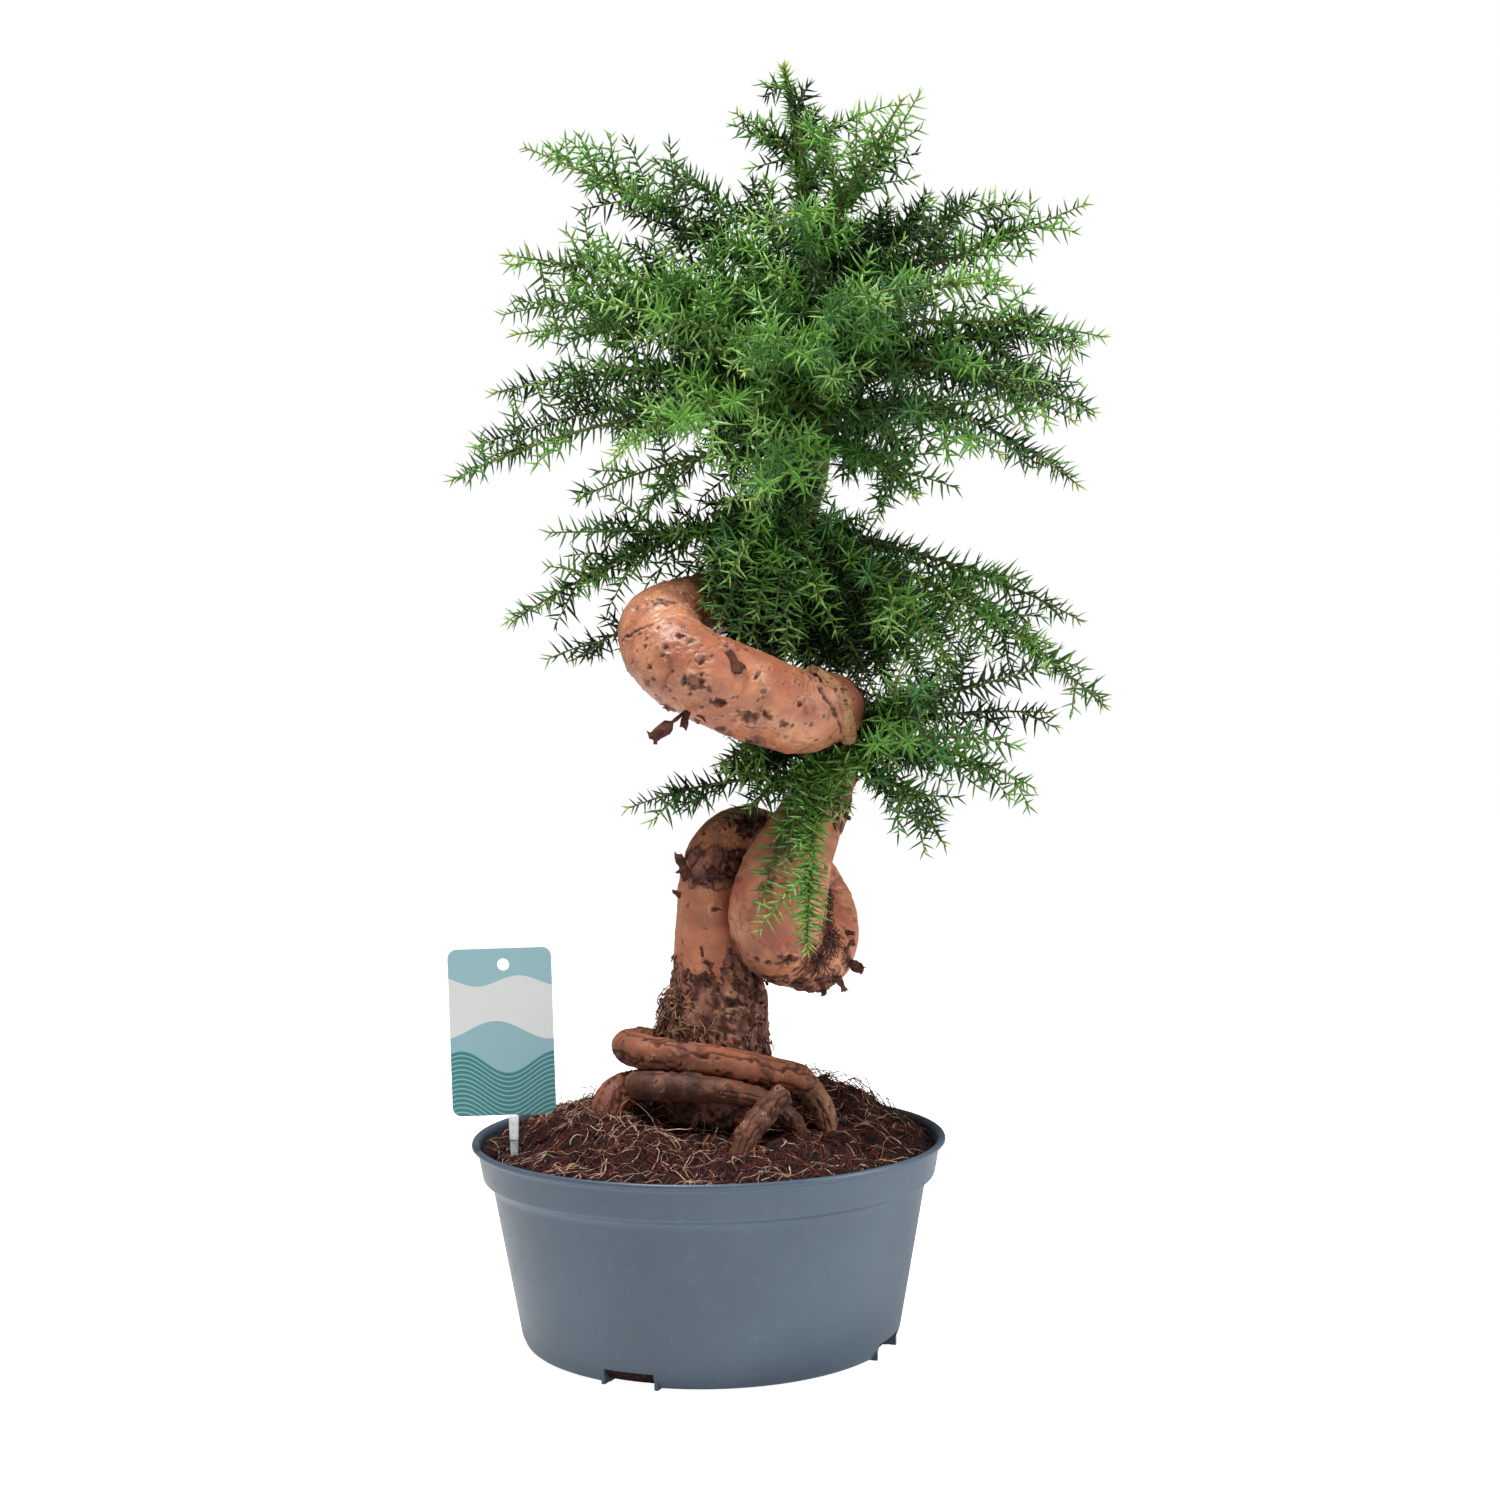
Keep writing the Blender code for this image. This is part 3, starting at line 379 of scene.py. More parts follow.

# sRGB colours of the needles, from the tufts to the crown's inside.
# The light green is partly painted light at the crown's front, and the shade green is painted shade inside
# and under the crown.
NEEDLE_COLOURS = {
    "young": "#98B152",
    "light": "#8CBA62",
    "mid": "#659A3C",
    "deep": "#3C6B24",
    "blue": "#4A7D40",
    "shade": "#1D3A14",
}
YOUNG, LIGHT, MID, DEEP, BLUE, SHADE = range(len(NEEDLE_COLOURS))


def linear(code):
    """Linear RGBA of an sRGB hex colour."""
    channels = [int(code[k:k + 2], 16) / 255.0 for k in (1, 3, 5)]
    return (*[c / 12.92 if c <= 0.04045 else ((c + 0.055) / 1.055) ** 2.4 for c in channels], 1.0)


def node(tree, kind, inputs=None, **settings):
    """Add a node; each input is a value or another node's output socket."""
    made = tree.nodes.new(kind)
    for key, value in settings.items():
        setattr(made, key, value)
    for key, value in (inputs or {}).items():
        if isinstance(value, bpy.types.NodeSocket):
            tree.links.new(value, made.inputs[key])
        else:
            made.inputs[key].default_value = value
    return made


def new_material(name, **sockets):
    """A material, its node tree and its shader with the given plain values."""
    mat = bpy.data.materials.new(name)
    mat.use_nodes = True
    shader = mat.node_tree.nodes["Principled BSDF"]
    for key, value in sockets.items():
        shader.inputs[key.replace("_", " ")].default_value = value
    return mat, mat.node_tree, shader


def wire(shader, **outputs):
    """Link outputs to the shader's inputs of the same names."""
    for key, output in outputs.items():
        shader.id_data.links.new(output, shader.inputs[key.replace("_", " ")])


def coats(tree, ground, *layers):
    """The ground's colour under layers, each a mask and the colour or value that it lays on."""
    laid = linear(ground) if isinstance(ground, str) else ground
    for mask, colour in layers:
        colour = linear(colour) if isinstance(colour, str) else colour
        laid = node(tree, "ShaderNodeMix", {0: mask, 6: laid, 7: colour}, data_type="RGBA").outputs[2]
    return laid


def grain_of(tree, size, low=0.35, high=0.65, detail=3.0, least=0.0, most=1.0):
    """Mask from least to most of soft blotches about `size` millimetres across."""
    place = node(tree, "ShaderNodeTexCoord").outputs["Object"]
    cloud = node(tree, "ShaderNodeTexNoise",
                 {"Vector": place, "Scale": 1.0 / (size * MM), "Detail": detail}).outputs[0]
    return node(tree, "ShaderNodeMapRange", {0: cloud, 1: low, 2: high, 3: least, 4: most}).outputs[0]


def relief_of(tree, size, depth, *spread):
    """Normal of a relief of blotches `size` millimetres across and `depth` millimetres deep."""
    height = grain_of(tree, size, *spread)
    return node(tree, "ShaderNodeBump", {"Height": height, "Distance": depth * MM}).outputs[0]


def pot_plastic():
    """Injection-moulded polypropylene: satin, a little cloudy, paler where it was rubbed."""
    mat, tree, shader = new_material("moulded_polypropylene", IOR=1.49)
    rubbed = (7.0, 0.56, 0.74, 6.0)
    wire(shader, Base_Color=coats(tree, "#455564", (grain_of(tree, 60.0), "#4B5C6C"),
                                  (grain_of(tree, *rubbed, 0.0, 0.06), "#97A3AC")),
         Roughness=grain_of(tree, *rubbed, 0.36, 0.5), Normal=relief_of(tree, 1.4, 0.03))
    return mat


def coir_earth():
    """Ground coconut husk: matt crumbs from near black to rust brown."""
    mat, tree, shader = new_material("ground_coir", Roughness=0.95, IOR=1.4)
    wire(shader, Base_Color=coats(tree, "#0C0303", (grain_of(tree, 9.0), "#210C07"),
                                  (grain_of(tree, 2.2, 0.5, 0.68), "#52211A"),
                                  (grain_of(tree, 3.0, 0.56, 0.66), "#170D0A")),
         Normal=relief_of(tree, 1.0, 0.7, 0.3, 0.7, 5.0))
    return mat


def coir_fibre(name, dark, pale):
    """Coconut husk fibre: thin, dry and faintly glossy, each a shade of its own."""
    mat, tree, shader = new_material(name, Roughness=0.7, IOR=1.45)
    wire(shader, Base_Color=coats(tree, dark, (grain_of(tree, 6.0), pale)))
    return mat


def bark_skin(name, smooth_dark, smooth_pale, old_dark, old_pale, gloss=(0.32, 0.44), coat=0.3):
    """Peeling conifer bark: a smooth glossy skin with pits, under matt plates of old bark, with painted
    shade in its hollows.
    """
    mat, tree, shader = new_material(name, IOR=1.45, Coat_Weight=coat, Coat_Roughness=0.34)
    old, dark, rim, streak = [node(tree, "ShaderNodeAttribute", attribute_name=layer).outputs["Fac"]
                              for layer in ("old", "dark", "rim", "streak")]
    skin = coats(tree, smooth_dark, (grain_of(tree, 24.0), smooth_pale),
                 (grain_of(tree, 11.0, 0.5, 0.66, 3.0, 0.0, 0.45), "#93614F"),
                 (grain_of(tree, 2.5, 0.46, 0.7, 5.0, 0.0, 0.3), old_pale), (streak, smooth_dark))
    plate = coats(tree, old_dark, (grain_of(tree, 10.0, 0.36, 0.6, 4.0), old_pale),
                  (grain_of(tree, 9.0, 0.56, 0.64, 3.0, 0.0, 0.7), "#AF7C60"))
    satin = grain_of(tree, 13.0, 0.35, 0.65, 3.0, *gloss)
    # The dark layer is painted shade in creases, pits, cracks, splits and between plates, and in the named
    # holes part dark bark, part painted shade.
    wire(shader, Base_Color=coats(tree, skin, (old, plate), (rim, "#D9A583"), (dark, "#3A170D")),
         Roughness=coats(tree, satin, (old, (0.85, 0.85, 0.85, 1.0)), (dark, (0.95, 0.95, 0.95, 1.0))),
         Normal=relief_of(tree, 1.3, 0.22, 0.3, 0.7, 5.0))
    return mat


def cork_flake():
    """Shed bark: thin dry cork, dark brown outside and paler where it has torn."""
    mat, tree, shader = new_material("shed_cork", Roughness=0.85, IOR=1.4)
    wire(shader, Base_Color=coats(tree, "#43241F", (grain_of(tree, 4.0), "#744636"),
                                  (grain_of(tree, 1.2, 0.5, 0.7), "#2E1A15")),
         Normal=relief_of(tree, 0.9, 0.3))
    return mat


def green_twig(name, dark, pale):
    """Green twig skin: waxy, ribbed by the feet of the needles."""
    mat, tree, shader = new_material(name, Roughness=0.5, IOR=1.45)
    wire(shader, Base_Color=coats(tree, dark, (grain_of(tree, 9.0), pale)),
         Normal=relief_of(tree, 1.6, 0.3, 0.4, 0.6, 2.0))
    return mat


def needle_skin(name, colour):
    """Conifer needle: a waxy cuticle, satin, one plain green for each kind of spray."""
    return new_material("needle_cuticle_" + name, Base_Color=linear(colour), Roughness=0.4, IOR=1.45)[0]


def printed_card():
    """Printed plastic card: glossy ink in rolling bands, on the front only."""
    mat, tree, shader = new_material("screen_printed_polystyrene", Roughness=0.32, IOR=1.5)
    place = node(tree, "ShaderNodeTexCoord").outputs["Object"]
    centred = node(tree, "ShaderNodeMapping", {0: place, 1: [-c * MM for c in LABEL_AT]}).outputs[0]
    scaled = node(tree, "ShaderNodeVectorMath", {0: centred, 3: 1.0 / MM}, operation="SCALE").outputs[0]
    parts = node(tree, "ShaderNodeSeparateXYZ", {0: scaled})
    across, height = parts.outputs["X"], parts.outputs["Z"]

    def hill(level, swell, span, shift):
        """1 below a rolling line at `level` with waves `span` long, and the line."""
        turn = node(tree, "ShaderNodeMath", {0: across, 1: 2 * math.pi / span, 2: shift},
                    operation="MULTIPLY_ADD").outputs[0]
        wave = node(tree, "ShaderNodeMath", {0: turn}, operation="SINE").outputs[0]
        line = node(tree, "ShaderNodeMath", {0: wave, 1: swell, 2: level},
                    operation="MULTIPLY_ADD").outputs[0]
        return node(tree, "ShaderNodeMath", {0: height, 1: line}, operation="LESS_THAN").outputs[0], line

    near, near_line = hill(30.0, 6.0, 52.0, 4.4)
    drop = node(tree, "ShaderNodeMath", {0: near_line, 1: height}, operation="SUBTRACT").outputs[0]
    stripe = node(tree, "ShaderNodeMath", {0: drop, 1: STRIPE_STEP}, operation="FLOORED_MODULO").outputs[0]
    thin = node(tree, "ShaderNodeMath", {0: stripe, 1: STRIPE_W}, operation="LESS_THAN").outputs[0]
    teal = coats(tree, "#35777A", (thin, "#7FB3B2"))
    ink = coats(tree, "#8FB4BB", (hill(74.0, 3.0, 46.0, 0.4)[0], "#D3D5D2"),
                (hill(47.0, 5.0, 60.0, 2.0)[0], "#89AFB7"), (near, teal))
    facing = node(tree, "ShaderNodeSeparateXYZ",
                  {0: node(tree, "ShaderNodeNewGeometry").outputs["Normal"]}).outputs["Y"]
    front = node(tree, "ShaderNodeMath", {0: facing, 1: -0.5}, operation="LESS_THAN").outputs[0]
    wire(shader, Base_Color=coats(tree, "#E4E6E6", (front, ink)), Normal=relief_of(tree, 12.0, 0.05))
    return mat


def clear_stick():
    """Injection-moulded clear polystyrene, scratched and milky."""
    mat, tree, shader = new_material("milky_polystyrene", Roughness=0.25, IOR=1.55)
    wire(shader, Base_Color=coats(tree, "#C9D2D4", (grain_of(tree, 3.0), "#E9EDEE")),
         Normal=relief_of(tree, 1.5, 0.04))
    return mat


def studio_floor():
    """White paper sweep."""
    mat, tree, shader = new_material("white_paper", Roughness=0.9, Emission_Color=linear("#FFFFFF"))
    seen = node(tree, "ShaderNodeLightPath").outputs["Is Camera Ray"]
    glow = node(tree, "ShaderNodeMapRange", {0: seen, 3: FLOOR_LIGHT, 4: FLOOR_SEEN}).outputs[0]
    wire(shader, Base_Color=coats(tree, "#F4F4F4", (grain_of(tree, 400.0), "#FBFBFB")),
         Emission_Strength=glow)
    return mat


def object_from(bm, name):
    """An object in millimetres from a bmesh whose faces are turned outwards."""
    bmesh.ops.recalc_face_normals(bm, faces=bm.faces[:])
    mesh = bpy.data.meshes.new(name)
    bm.to_mesh(mesh)
    bm.free()
    obj = bpy.data.objects.new(name, mesh)
    scene.collection.objects.link(obj)
    return obj


def finish_piece(obj, mat, nodes=()):
    """Scale a piece to metres, give it its material and hang it on the frame."""
    obj.data.transform(Matrix.Scale(MM, 4))
    obj.data.materials.clear()
    obj.data.materials.append(mat)
    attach(obj, "root")
    if nodes:
        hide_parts(*nodes)


def apply_modifiers(obj):
    """Make the mesh that the object's modifiers give its own."""
    evaluated = obj.evaluated_get(bpy.context.evaluated_depsgraph_get())
    mesh = bpy.data.meshes.new_from_object(evaluated)
    obj.modifiers.clear()
    worn = obj.data
    obj.data = mesh
    bpy.data.meshes.remove(worn)


def boolean(obj, other, operation):
    """Join `other` to obj or cut it away, and remove it."""
    step = obj.modifiers.new(operation.title(), "BOOLEAN")
    step.operation = operation
    step.object = other
    step.solver = "EXACT"
    apply_modifiers(obj)
    bpy.data.objects.remove(other, do_unlink=True)


def noise(points, size, seed=0):
    """Smooth seeded noise from -1 to 1 with lumps about `size` across, one value a point."""
    spot = points / size + 17.31 * (seed + 1)
    cell = np.floor(spot).astype(np.int64)
    part = spot - cell
    part = part * part * (3 - 2 * part)
    total = np.zeros(len(points))
    for corner in itertools.product((0, 1), repeat=3):
        mixed = (cell + corner) * np.array((73856093, 19349663, 83492791))
        mixed = mixed[:, 0] ^ mixed[:, 1] ^ mixed[:, 2]
        mixed = (mixed * 2654435761) & 0x7FFFFFFF
        mixed = ((mixed >> 13) ^ mixed) & 0xFFFF
        weight = np.prod(np.where(corner, part, 1 - part), axis=1)
        total += weight * (mixed / 32767.5 - 1)
    return total


def ramp(value, start, end):
    """0 up to start, 1 past end and smooth between, upwards or downwards."""
    t = np.clip((value - start) / (end - start), 0, 1)
    return t * t * (3 - 2 * t)


def curve_through(points, step):
    """Points about `step` apart on a smooth curve through the given ones, and each knot's place."""
    knots = np.array(points, dtype=float)
    ends = np.vstack([2 * knots[0] - knots[1], knots, 2 * knots[-1] - knots[-2]])
    path = []
    marks = []
    for k in range(len(knots) - 1):
        p0, p1, p2, p3 = ends[k:k + 4]
        parts = max(2, int(round(np.linalg.norm(p2[:3] - p1[:3]) / step)))
        marks.append(len(path))
        for i in range(parts):
            t = i / parts
            path.append(0.5 * (2 * p1 + (p2 - p0) * t + (2 * p0 - 5 * p1 + 4 * p2 - p3) * t * t
                               + (3 * p1 - p0 - 3 * p2 + p3) * t ** 3))
    marks.append(len(path))
    path.append(knots[-1])
    return np.array(path), marks


def sweep(name, lines, sides, capped=True):
    """Round limbs along lines of x, y, z, radius rows, as one mesh of rings in order."""
    ring = bpy.data.curves.new("ring", "CURVE")
    ring.dimensions = "2D"
    outline = ring.splines.new("POLY")
    outline.points.add(sides - 1)
    turns = -2 * np.pi * np.arange(sides) / sides
    circle = np.c_[np.cos(turns), np.sin(turns), 0 * turns, 1 + 0 * turns]
    outline.points.foreach_set("co", circle.ravel())
    outline.use_cyclic_u = True
    section = bpy.data.objects.new("ring", ring)
    curve = bpy.data.curves.new(name, "CURVE")
    curve.dimensions = "3D"
    curve.bevel_mode = "OBJECT"
    curve.bevel_object = section
    curve.use_fill_caps = capped
    for line in lines:
        spline = curve.splines.new("POLY")
        spline.points.add(len(line) - 1)
        spline.points.foreach_set("co", np.c_[line[:, :3], np.ones(len(line))].ravel())
        spline.points.foreach_set("radius", np.ascontiguousarray(line[:, 3]))
    bearer = bpy.data.objects.new(name, curve)
    for obj in (section, bearer):
        scene.collection.objects.link(obj)
    mesh = bpy.data.meshes.new_from_object(bearer.evaluated_get(bpy.context.evaluated_depsgraph_get()))
    for obj in (section, bearer):
        bpy.data.objects.remove(obj, do_unlink=True)
    swept = bpy.data.objects.new(name, mesh)
    scene.collection.objects.link(swept)
    mesh.shade_smooth()
    return swept


def close_ends(obj):
    """Fill the open ends of a swept limb."""
    bm = bmesh.new()
    bm.from_mesh(obj.data)
    bmesh.ops.holes_fill(bm, edges=[e for e in bm.edges if e.is_boundary])
    bm.to_mesh(obj.data)
    bm.free()


def places_of(mesh):
    """The mesh's points as rows of x, y, z."""
    spots = np.empty(len(mesh.vertices) * 3)
    mesh.vertices.foreach_get("co", spots)
    return spots.reshape(-1, 3)


def outward_of(mesh):
    """The way each point of the mesh faces."""
    ways = np.empty(len(mesh.vertices) * 3)
    mesh.vertex_normals.foreach_get("vector", ways)
    return ways.reshape(-1, 3)


def skin_of(limbs):
    """The points of several limbs together and the ways they face."""
    return (np.vstack([places_of(limb.data) for limb in limbs]),
            np.vstack([outward_of(limb.data) for limb in limbs]))


def roughen(obj, *lumps):
    """Push a swept limb in and out by noise, given as height, size and seed of its lumps."""
    spots, ways = places_of(obj.data), outward_of(obj.data)
    spots += ways * sum(high * noise(spots, size, seed) for high, size, seed in lumps)[:, None]
    obj.data.vertices.foreach_set("co", spots.ravel())
    obj.data.update()


def store(mesh, name, values):
    """Keep a value from 0 to 1 for each point, for the bark's material."""
    layer = mesh.attributes.new(name, "FLOAT", "POINT")
    layer.data.foreach_set("value", np.clip(values, 0, 1).astype(np.float32))


def reach_of(points, line):
    """Each point's place along every segment of a line, from 0 to 1, and its distance from it."""
    a = line[:-1, :3]
    ab = line[1:, :3] - a
    t = np.einsum("pkj,kj->pk", points[:, None, :] - a, ab) / np.einsum("kj,kj->k", ab, ab)
    t = np.clip(t, 0, 1)
    return t, np.linalg.norm(points[:, None, :] - (a + t[:, :, None] * ab), axis=2)


def distance_to_line(points, line):
    """Distance from each point to the nearest part of a line of points."""
    return reach_of(points, line)[1].min(axis=1)


def rounded(profile, radius, steps=4):
    """The profile with each inner corner turned into a short arc."""
    made = [profile[0]]
    for before, corner, after in zip(profile, profile[1:], profile[2:]):
        here = np.array(corner)
        arms = [np.array(before) - here, np.array(after) - here]
        cut = min(radius, *[0.45 * np.linalg.norm(arm) for arm in arms])
        first, last = [here + arm / np.linalg.norm(arm) * cut for arm in arms]
        for t in np.linspace(0, 1, steps + 1):
            made.append(tuple(first * (1 - t) ** 2 + 2 * here * t * (1 - t) + last * t * t))
    made.append(profile[-1])
    return made


def spun(profile, steps):
    """A closed bmesh turned about Z from (radius, z) points."""
    bm = bmesh.new()
    line = [bm.verts.new((radius, 0, z)) for radius, z in profile]
    edges = [bm.edges.new(pair) for pair in zip(line, line[1:])]
    bmesh.ops.spin(bm, geom=line + edges, cent=(0, 0, 0), axis=(0, 0, 1), angle=2 * math.pi,
                   steps=steps, use_merge=True)
    bmesh.ops.remove_doubles(bm, verts=bm.verts[:], dist=1e-4)
    return bm


def box(bm, size, centre, turn=0.0):
    """Add a box, turned about Z with its centre."""
    made = bmesh.ops.create_cube(bm, size=1.0)["verts"]
    bmesh.ops.scale(bm, verts=made, vec=size)
    bmesh.ops.translate(bm, verts=made, vec=centre)
    bmesh.ops.rotate(bm, verts=made, cent=(0, 0, 0), matrix=Matrix.Rotation(turn, 3, "Z"))
    return made


def make_pot():
    """The bowl with its rounded edges, channels under the floor and drain holes."""
    outer = [(0.0, 0.0), (101.2, 0.0), (105.4, 1.6), (POT_BASE_R, 6.5), (122.9, NECK_Z),
             (124.6, NECK_Z + 3.4), (128.4, NECK_Z + 5.2), (COLLAR_R, POT_H - 4.2),
             (POT_RIM_R, POT_H - 2.6), (POT_RIM_R - 0.9, POT_H), (COLLAR_R - 0.4, POT_H - 0.6)]
    inner = [(COLLAR_R - POT_WALL, POT_H - 3.0), (126.6, NECK_Z + 5.8), (121.0, NECK_Z),
             (106.0, 7.0), (101.5, FLOOR_T), (0.0, FLOOR_T)]
    pot = object_from(spun(rounded(outer + inner, 1.6), POT_STEPS), "pot_bowl")
    for k in range(4):
        turn = CHANNEL_TURN + k * math.pi / 2
        length = POT_BASE_R - 1.6 - CHANNEL_R0
        raised = bmesh.new()
        box(raised, (length, CHANNEL_W + 2 * FLOOR_T, CHANNEL_H + FLOOR_T - 0.4),
            (CHANNEL_R0 + length / 2, 0, (CHANNEL_H + FLOOR_T + 0.4) / 2), turn)
        boolean(pot, object_from(raised, "channel"), "UNION")
        hollow = bmesh.new()
        box(hollow, (80, CHANNEL_W, CHANNEL_H + 5),
            (CHANNEL_R0 + FLOOR_T + 40, 0, CHANNEL_H / 2 - 2.5), turn)
        boolean(pot, object_from(hollow, "hollow"), "DIFFERENCE")
        drain = bmesh.new()
        at = (DRAIN_AT * math.cos(turn), DRAIN_AT * math.sin(turn), CHANNEL_H)
        bmesh.ops.create_cone(drain, cap_ends=True, segments=32, radius1=DRAIN_R, radius2=DRAIN_R,
                              depth=30.0, matrix=Matrix.Translation(at))
        boolean(pot, object_from(drain, "drain"), "DIFFERENCE")
    pot.data.shade_smooth()
    pot.data.set_sharp_from_angle(angle=math.radians(32))
    finish_piece(pot, pot_plastic(), ["pot"])


def soil_height(x, y):
    """Top of the coir: a flat seat under the trunk, falling to the wall, with heaps at the back."""
    t = np.clip((np.hypot(x, y) - SEAT_R) / (COLLAR_R - SEAT_R), 0, 1)
    heap = sum(high * np.exp(-((x - cx) ** 2 + (y - cy) ** 2) / wide) for cx, cy, high, wide in HEAPS)
    return SEAT_Z - (SEAT_Z - SOIL_EDGE_Z) * t ** 0.8 + heap * np.minimum(1.0, t * 4)


def soil_top(x, y):
    """The coir's top with its clods and crumbs, banked up against the roots."""
    flat = np.c_[x, y, 0 * x]
    edge = ramp(SOIL_R - np.hypot(x, y), 0.0, 9.0)
    clods = 3.0 * noise(flat, 13.0, 3) + 2.4 * noise(flat, 5.5, 4) + 1.3 * noise(flat, 2.6, 5)
    bank = sum(high * np.exp(-((x - cx) ** 2 + (y - cy) ** 2) / wide ** 2) for cx, cy, high, wide in BANKS)
    return soil_height(x, y) + clods * (0.35 + 0.65 * edge) + bank * edge


def make_soil():
    """The mound of coir, which fills the bowl down to its floor."""
    rim = float(soil_height(SOIL_R, 0.0))
    top = [(r, rim) for r in np.linspace(0, SOIL_R, SOIL_RINGS)]
    wall = [(126.0, NECK_Z + 5.6), (120.6, NECK_Z), (105.6, 7.2),
            (101.2, FLOOR_T + 0.3), (0.0, FLOOR_T + 0.3)]
    soil = object_from(spun(top + wall, SOIL_STEPS), "coir_mound")
    spots = places_of(soil.data)
    crest = spots[:, 2] > rim - 1.0
    spots[crest, 2] = soil_top(spots[crest, 0], spots[crest, 1])
    soil.data.vertices.foreach_set("co", spots.ravel())
    soil.data.shade_smooth()
    finish_piece(soil, coir_earth(), ["soil"])


def fibre(rng, start, heading, length, lift, curl, radius):
    """A curly strand seen from above: x, y, height above the coir, radius."""
    line = []
    x, y = start
    for k in range(FIBRE_STEPS + 1):
        share = k / FIBRE_STEPS
        line.append((x, y, 0.4 + lift * math.sin(math.pi * share), radius * (1.0 - 0.5 * share)))
        heading += curl + rng.gauss(0, 0.22)
        x += math.cos(heading) * length / FIBRE_STEPS
        y += math.sin(heading) * length / FIBRE_STEPS
        if math.hypot(x, y) > SOIL_R - 2.0:
            break
    return np.array(line)


def make_fibres():
    """Loose coir fibres over the mound, in three shades, and a fluffy tuft on the back heap."""
    for seed, (name, dark, pale, count) in enumerate(FIBRES):
        rng = random.Random(100 + seed)
        lines = []
        while len(lines) < count:
            bearing = rng.uniform(0, 2 * math.pi)
            reach = FIBRE_REACH * math.sqrt(rng.uniform(0.06, 1.0))
            start = (reach * math.cos(bearing), reach * math.sin(bearing))
            if name == "coir_fibre_pale" and start[0] > 10 and rng.random() < 0.6:
                continue
            tuft = math.exp(-((start[0] - TUFT[0]) ** 2 + (start[1] - TUFT[1]) ** 2) / TUFT[2])
            lift = abs(rng.gauss(0, 1.8))
            lift += rng.uniform(1, 10) if rng.random() < 0.09 + 0.5 * tuft else 0
            line = fibre(rng, start, rng.uniform(0, 2 * math.pi), rng.uniform(9, 36), lift,
                         rng.gauss(0, 0.28), rng.uniform(0.17, 0.38))
            if len(line) > 3:
                lines.append(line)
        flat = np.vstack(lines)
        flat[:, 2] += soil_top(flat[:, 0], flat[:, 1])
        lines = np.split(flat, np.cumsum([len(line) for line in lines])[:-1])
        finish_piece(sweep(name, lines, 3), coir_fibre(name, dark, pale))


def make_crumbs():
    """Lumps of husk scattered over the coir."""
    rng = random.Random(7)
    bm = bmesh.new()
    bearing = np.array([rng.uniform(0, 2 * math.pi) for _ in range(CRUMBS)])
    reach = np.array([CRUMB_REACH * math.sqrt(rng.uniform(0.05, 1.0)) for _ in range(CRUMBS)])
    x, y = reach * np.cos(bearing), reach * np.sin(bearing)
    for place in np.c_[x, y, soil_top(x, y)]:
        size = rng.uniform(0.7, 2.3)
        turn = Matrix.Rotation(rng.uniform(0, math.pi), 4, rng.choice("XYZ"))
        sides = [rng.uniform(low, high) for low, high in ((0.6, 1.7), (0.6, 1.2), (0.4, 0.8))]
        stretch = Matrix.Diagonal((*sides, 1.0))
        bmesh.ops.create_icosphere(bm, subdivisions=1, radius=size,
                                   matrix=Matrix.Translation(Vector(place)) @ turn @ stretch)
    for vert in bm.verts:
        vert.co += Vector([rng.gauss(0, 0.16) for _ in range(3)])
    finish_piece(object_from(bm, "coir_crumbs"), coir_earth())


def make_label():
    """A card with round corners and a round hole, and its stick."""
    bm = bmesh.new()
    box(bm, (LABEL_W, LABEL_T, LABEL_H), (0, 0, LABEL_H / 2))
    upright = [e for e in bm.edges if abs(e.verts[0].co.y - e.verts[1].co.y) > 0.5 * LABEL_T]
    bmesh.ops.bevel(bm, geom=upright, offset=LABEL_CORNER, segments=10, affect="EDGES",
                    profile=0.5, material=-1)
    card = object_from(bm, "label_printed_card")
    hole = bmesh.new()
    bmesh.ops.create_cone(hole, cap_ends=True, segments=48, radius1=LABEL_HOLE_R, radius2=LABEL_HOLE_R,
                          depth=10.0, matrix=Matrix.Rotation(math.pi / 2, 4, "X"))
    bmesh.ops.translate(hole, verts=hole.verts[:], vec=(2.0, 0, LABEL_H - 9.0))
    boolean(card, object_from(hole, "hole"), "DIFFERENCE")
    card.data.transform(Matrix.Translation(LABEL_AT) @ Matrix.Rotation(LABEL_TURN, 4, "Y"))
    finish_piece(card, printed_card(), ["label_card"])
    x, y, z = LABEL_AT
    bm = bmesh.new()
    height = z - STICK_FOOT - STICK_GAP
    made = box(bm, (STICK_W, STICK_T, height), (0, 0, height / 2))
    bmesh.ops.scale(bm, verts=[v for v in made if v.co.z < 1.0], vec=(0.4, 1, 1))
    bmesh.ops.bevel(bm, geom=bm.edges[:], offset=0.5, segments=3, affect="EDGES",
                    profile=0.5, material=-1)
    bmesh.ops.translate(bm, verts=bm.verts[:], vec=(x + STICK_SHIFT, y, STICK_FOOT))
    stick = object_from(bm, "label_clear_stick")
    stick.data.shade_smooth()
    stick.data.set_sharp_from_angle(angle=math.radians(40))
    finish_piece(stick, clear_stick(), ["label_stick"])


def trunk_runs(step):
    """The trunk's two runs, from the same route as the solids: lengths, path and knots' places."""
    names = list(TRUNK_ROUTE)
    split = names.index(KNOT_BREAK)
    return [(run, *curve_through([knot for name in run for knot in TRUNK_ROUTE[name]], step))
            for run in (names[:split], names[split:])]


def domed(path, depth):
    """The path with a rounded end before its first point."""
    away = path[0, :3] - path[1, :3]
    away /= np.linalg.norm(away)
    rows = []
    for t in np.linspace(0.97, 0.12, 9):
        rows.append((*(path[0, :3] + away * depth * t), path[0, 3] * math.sqrt(1 - t * t)))
    return np.vstack([rows, path])


def on_foot(points):
    """1 on the trunk's foot and 0 on the lobe beside it."""
    return ramp(np.hypot(points[:, 0] - FOOT_X, points[:, 1]), *FOOT_WITHIN)


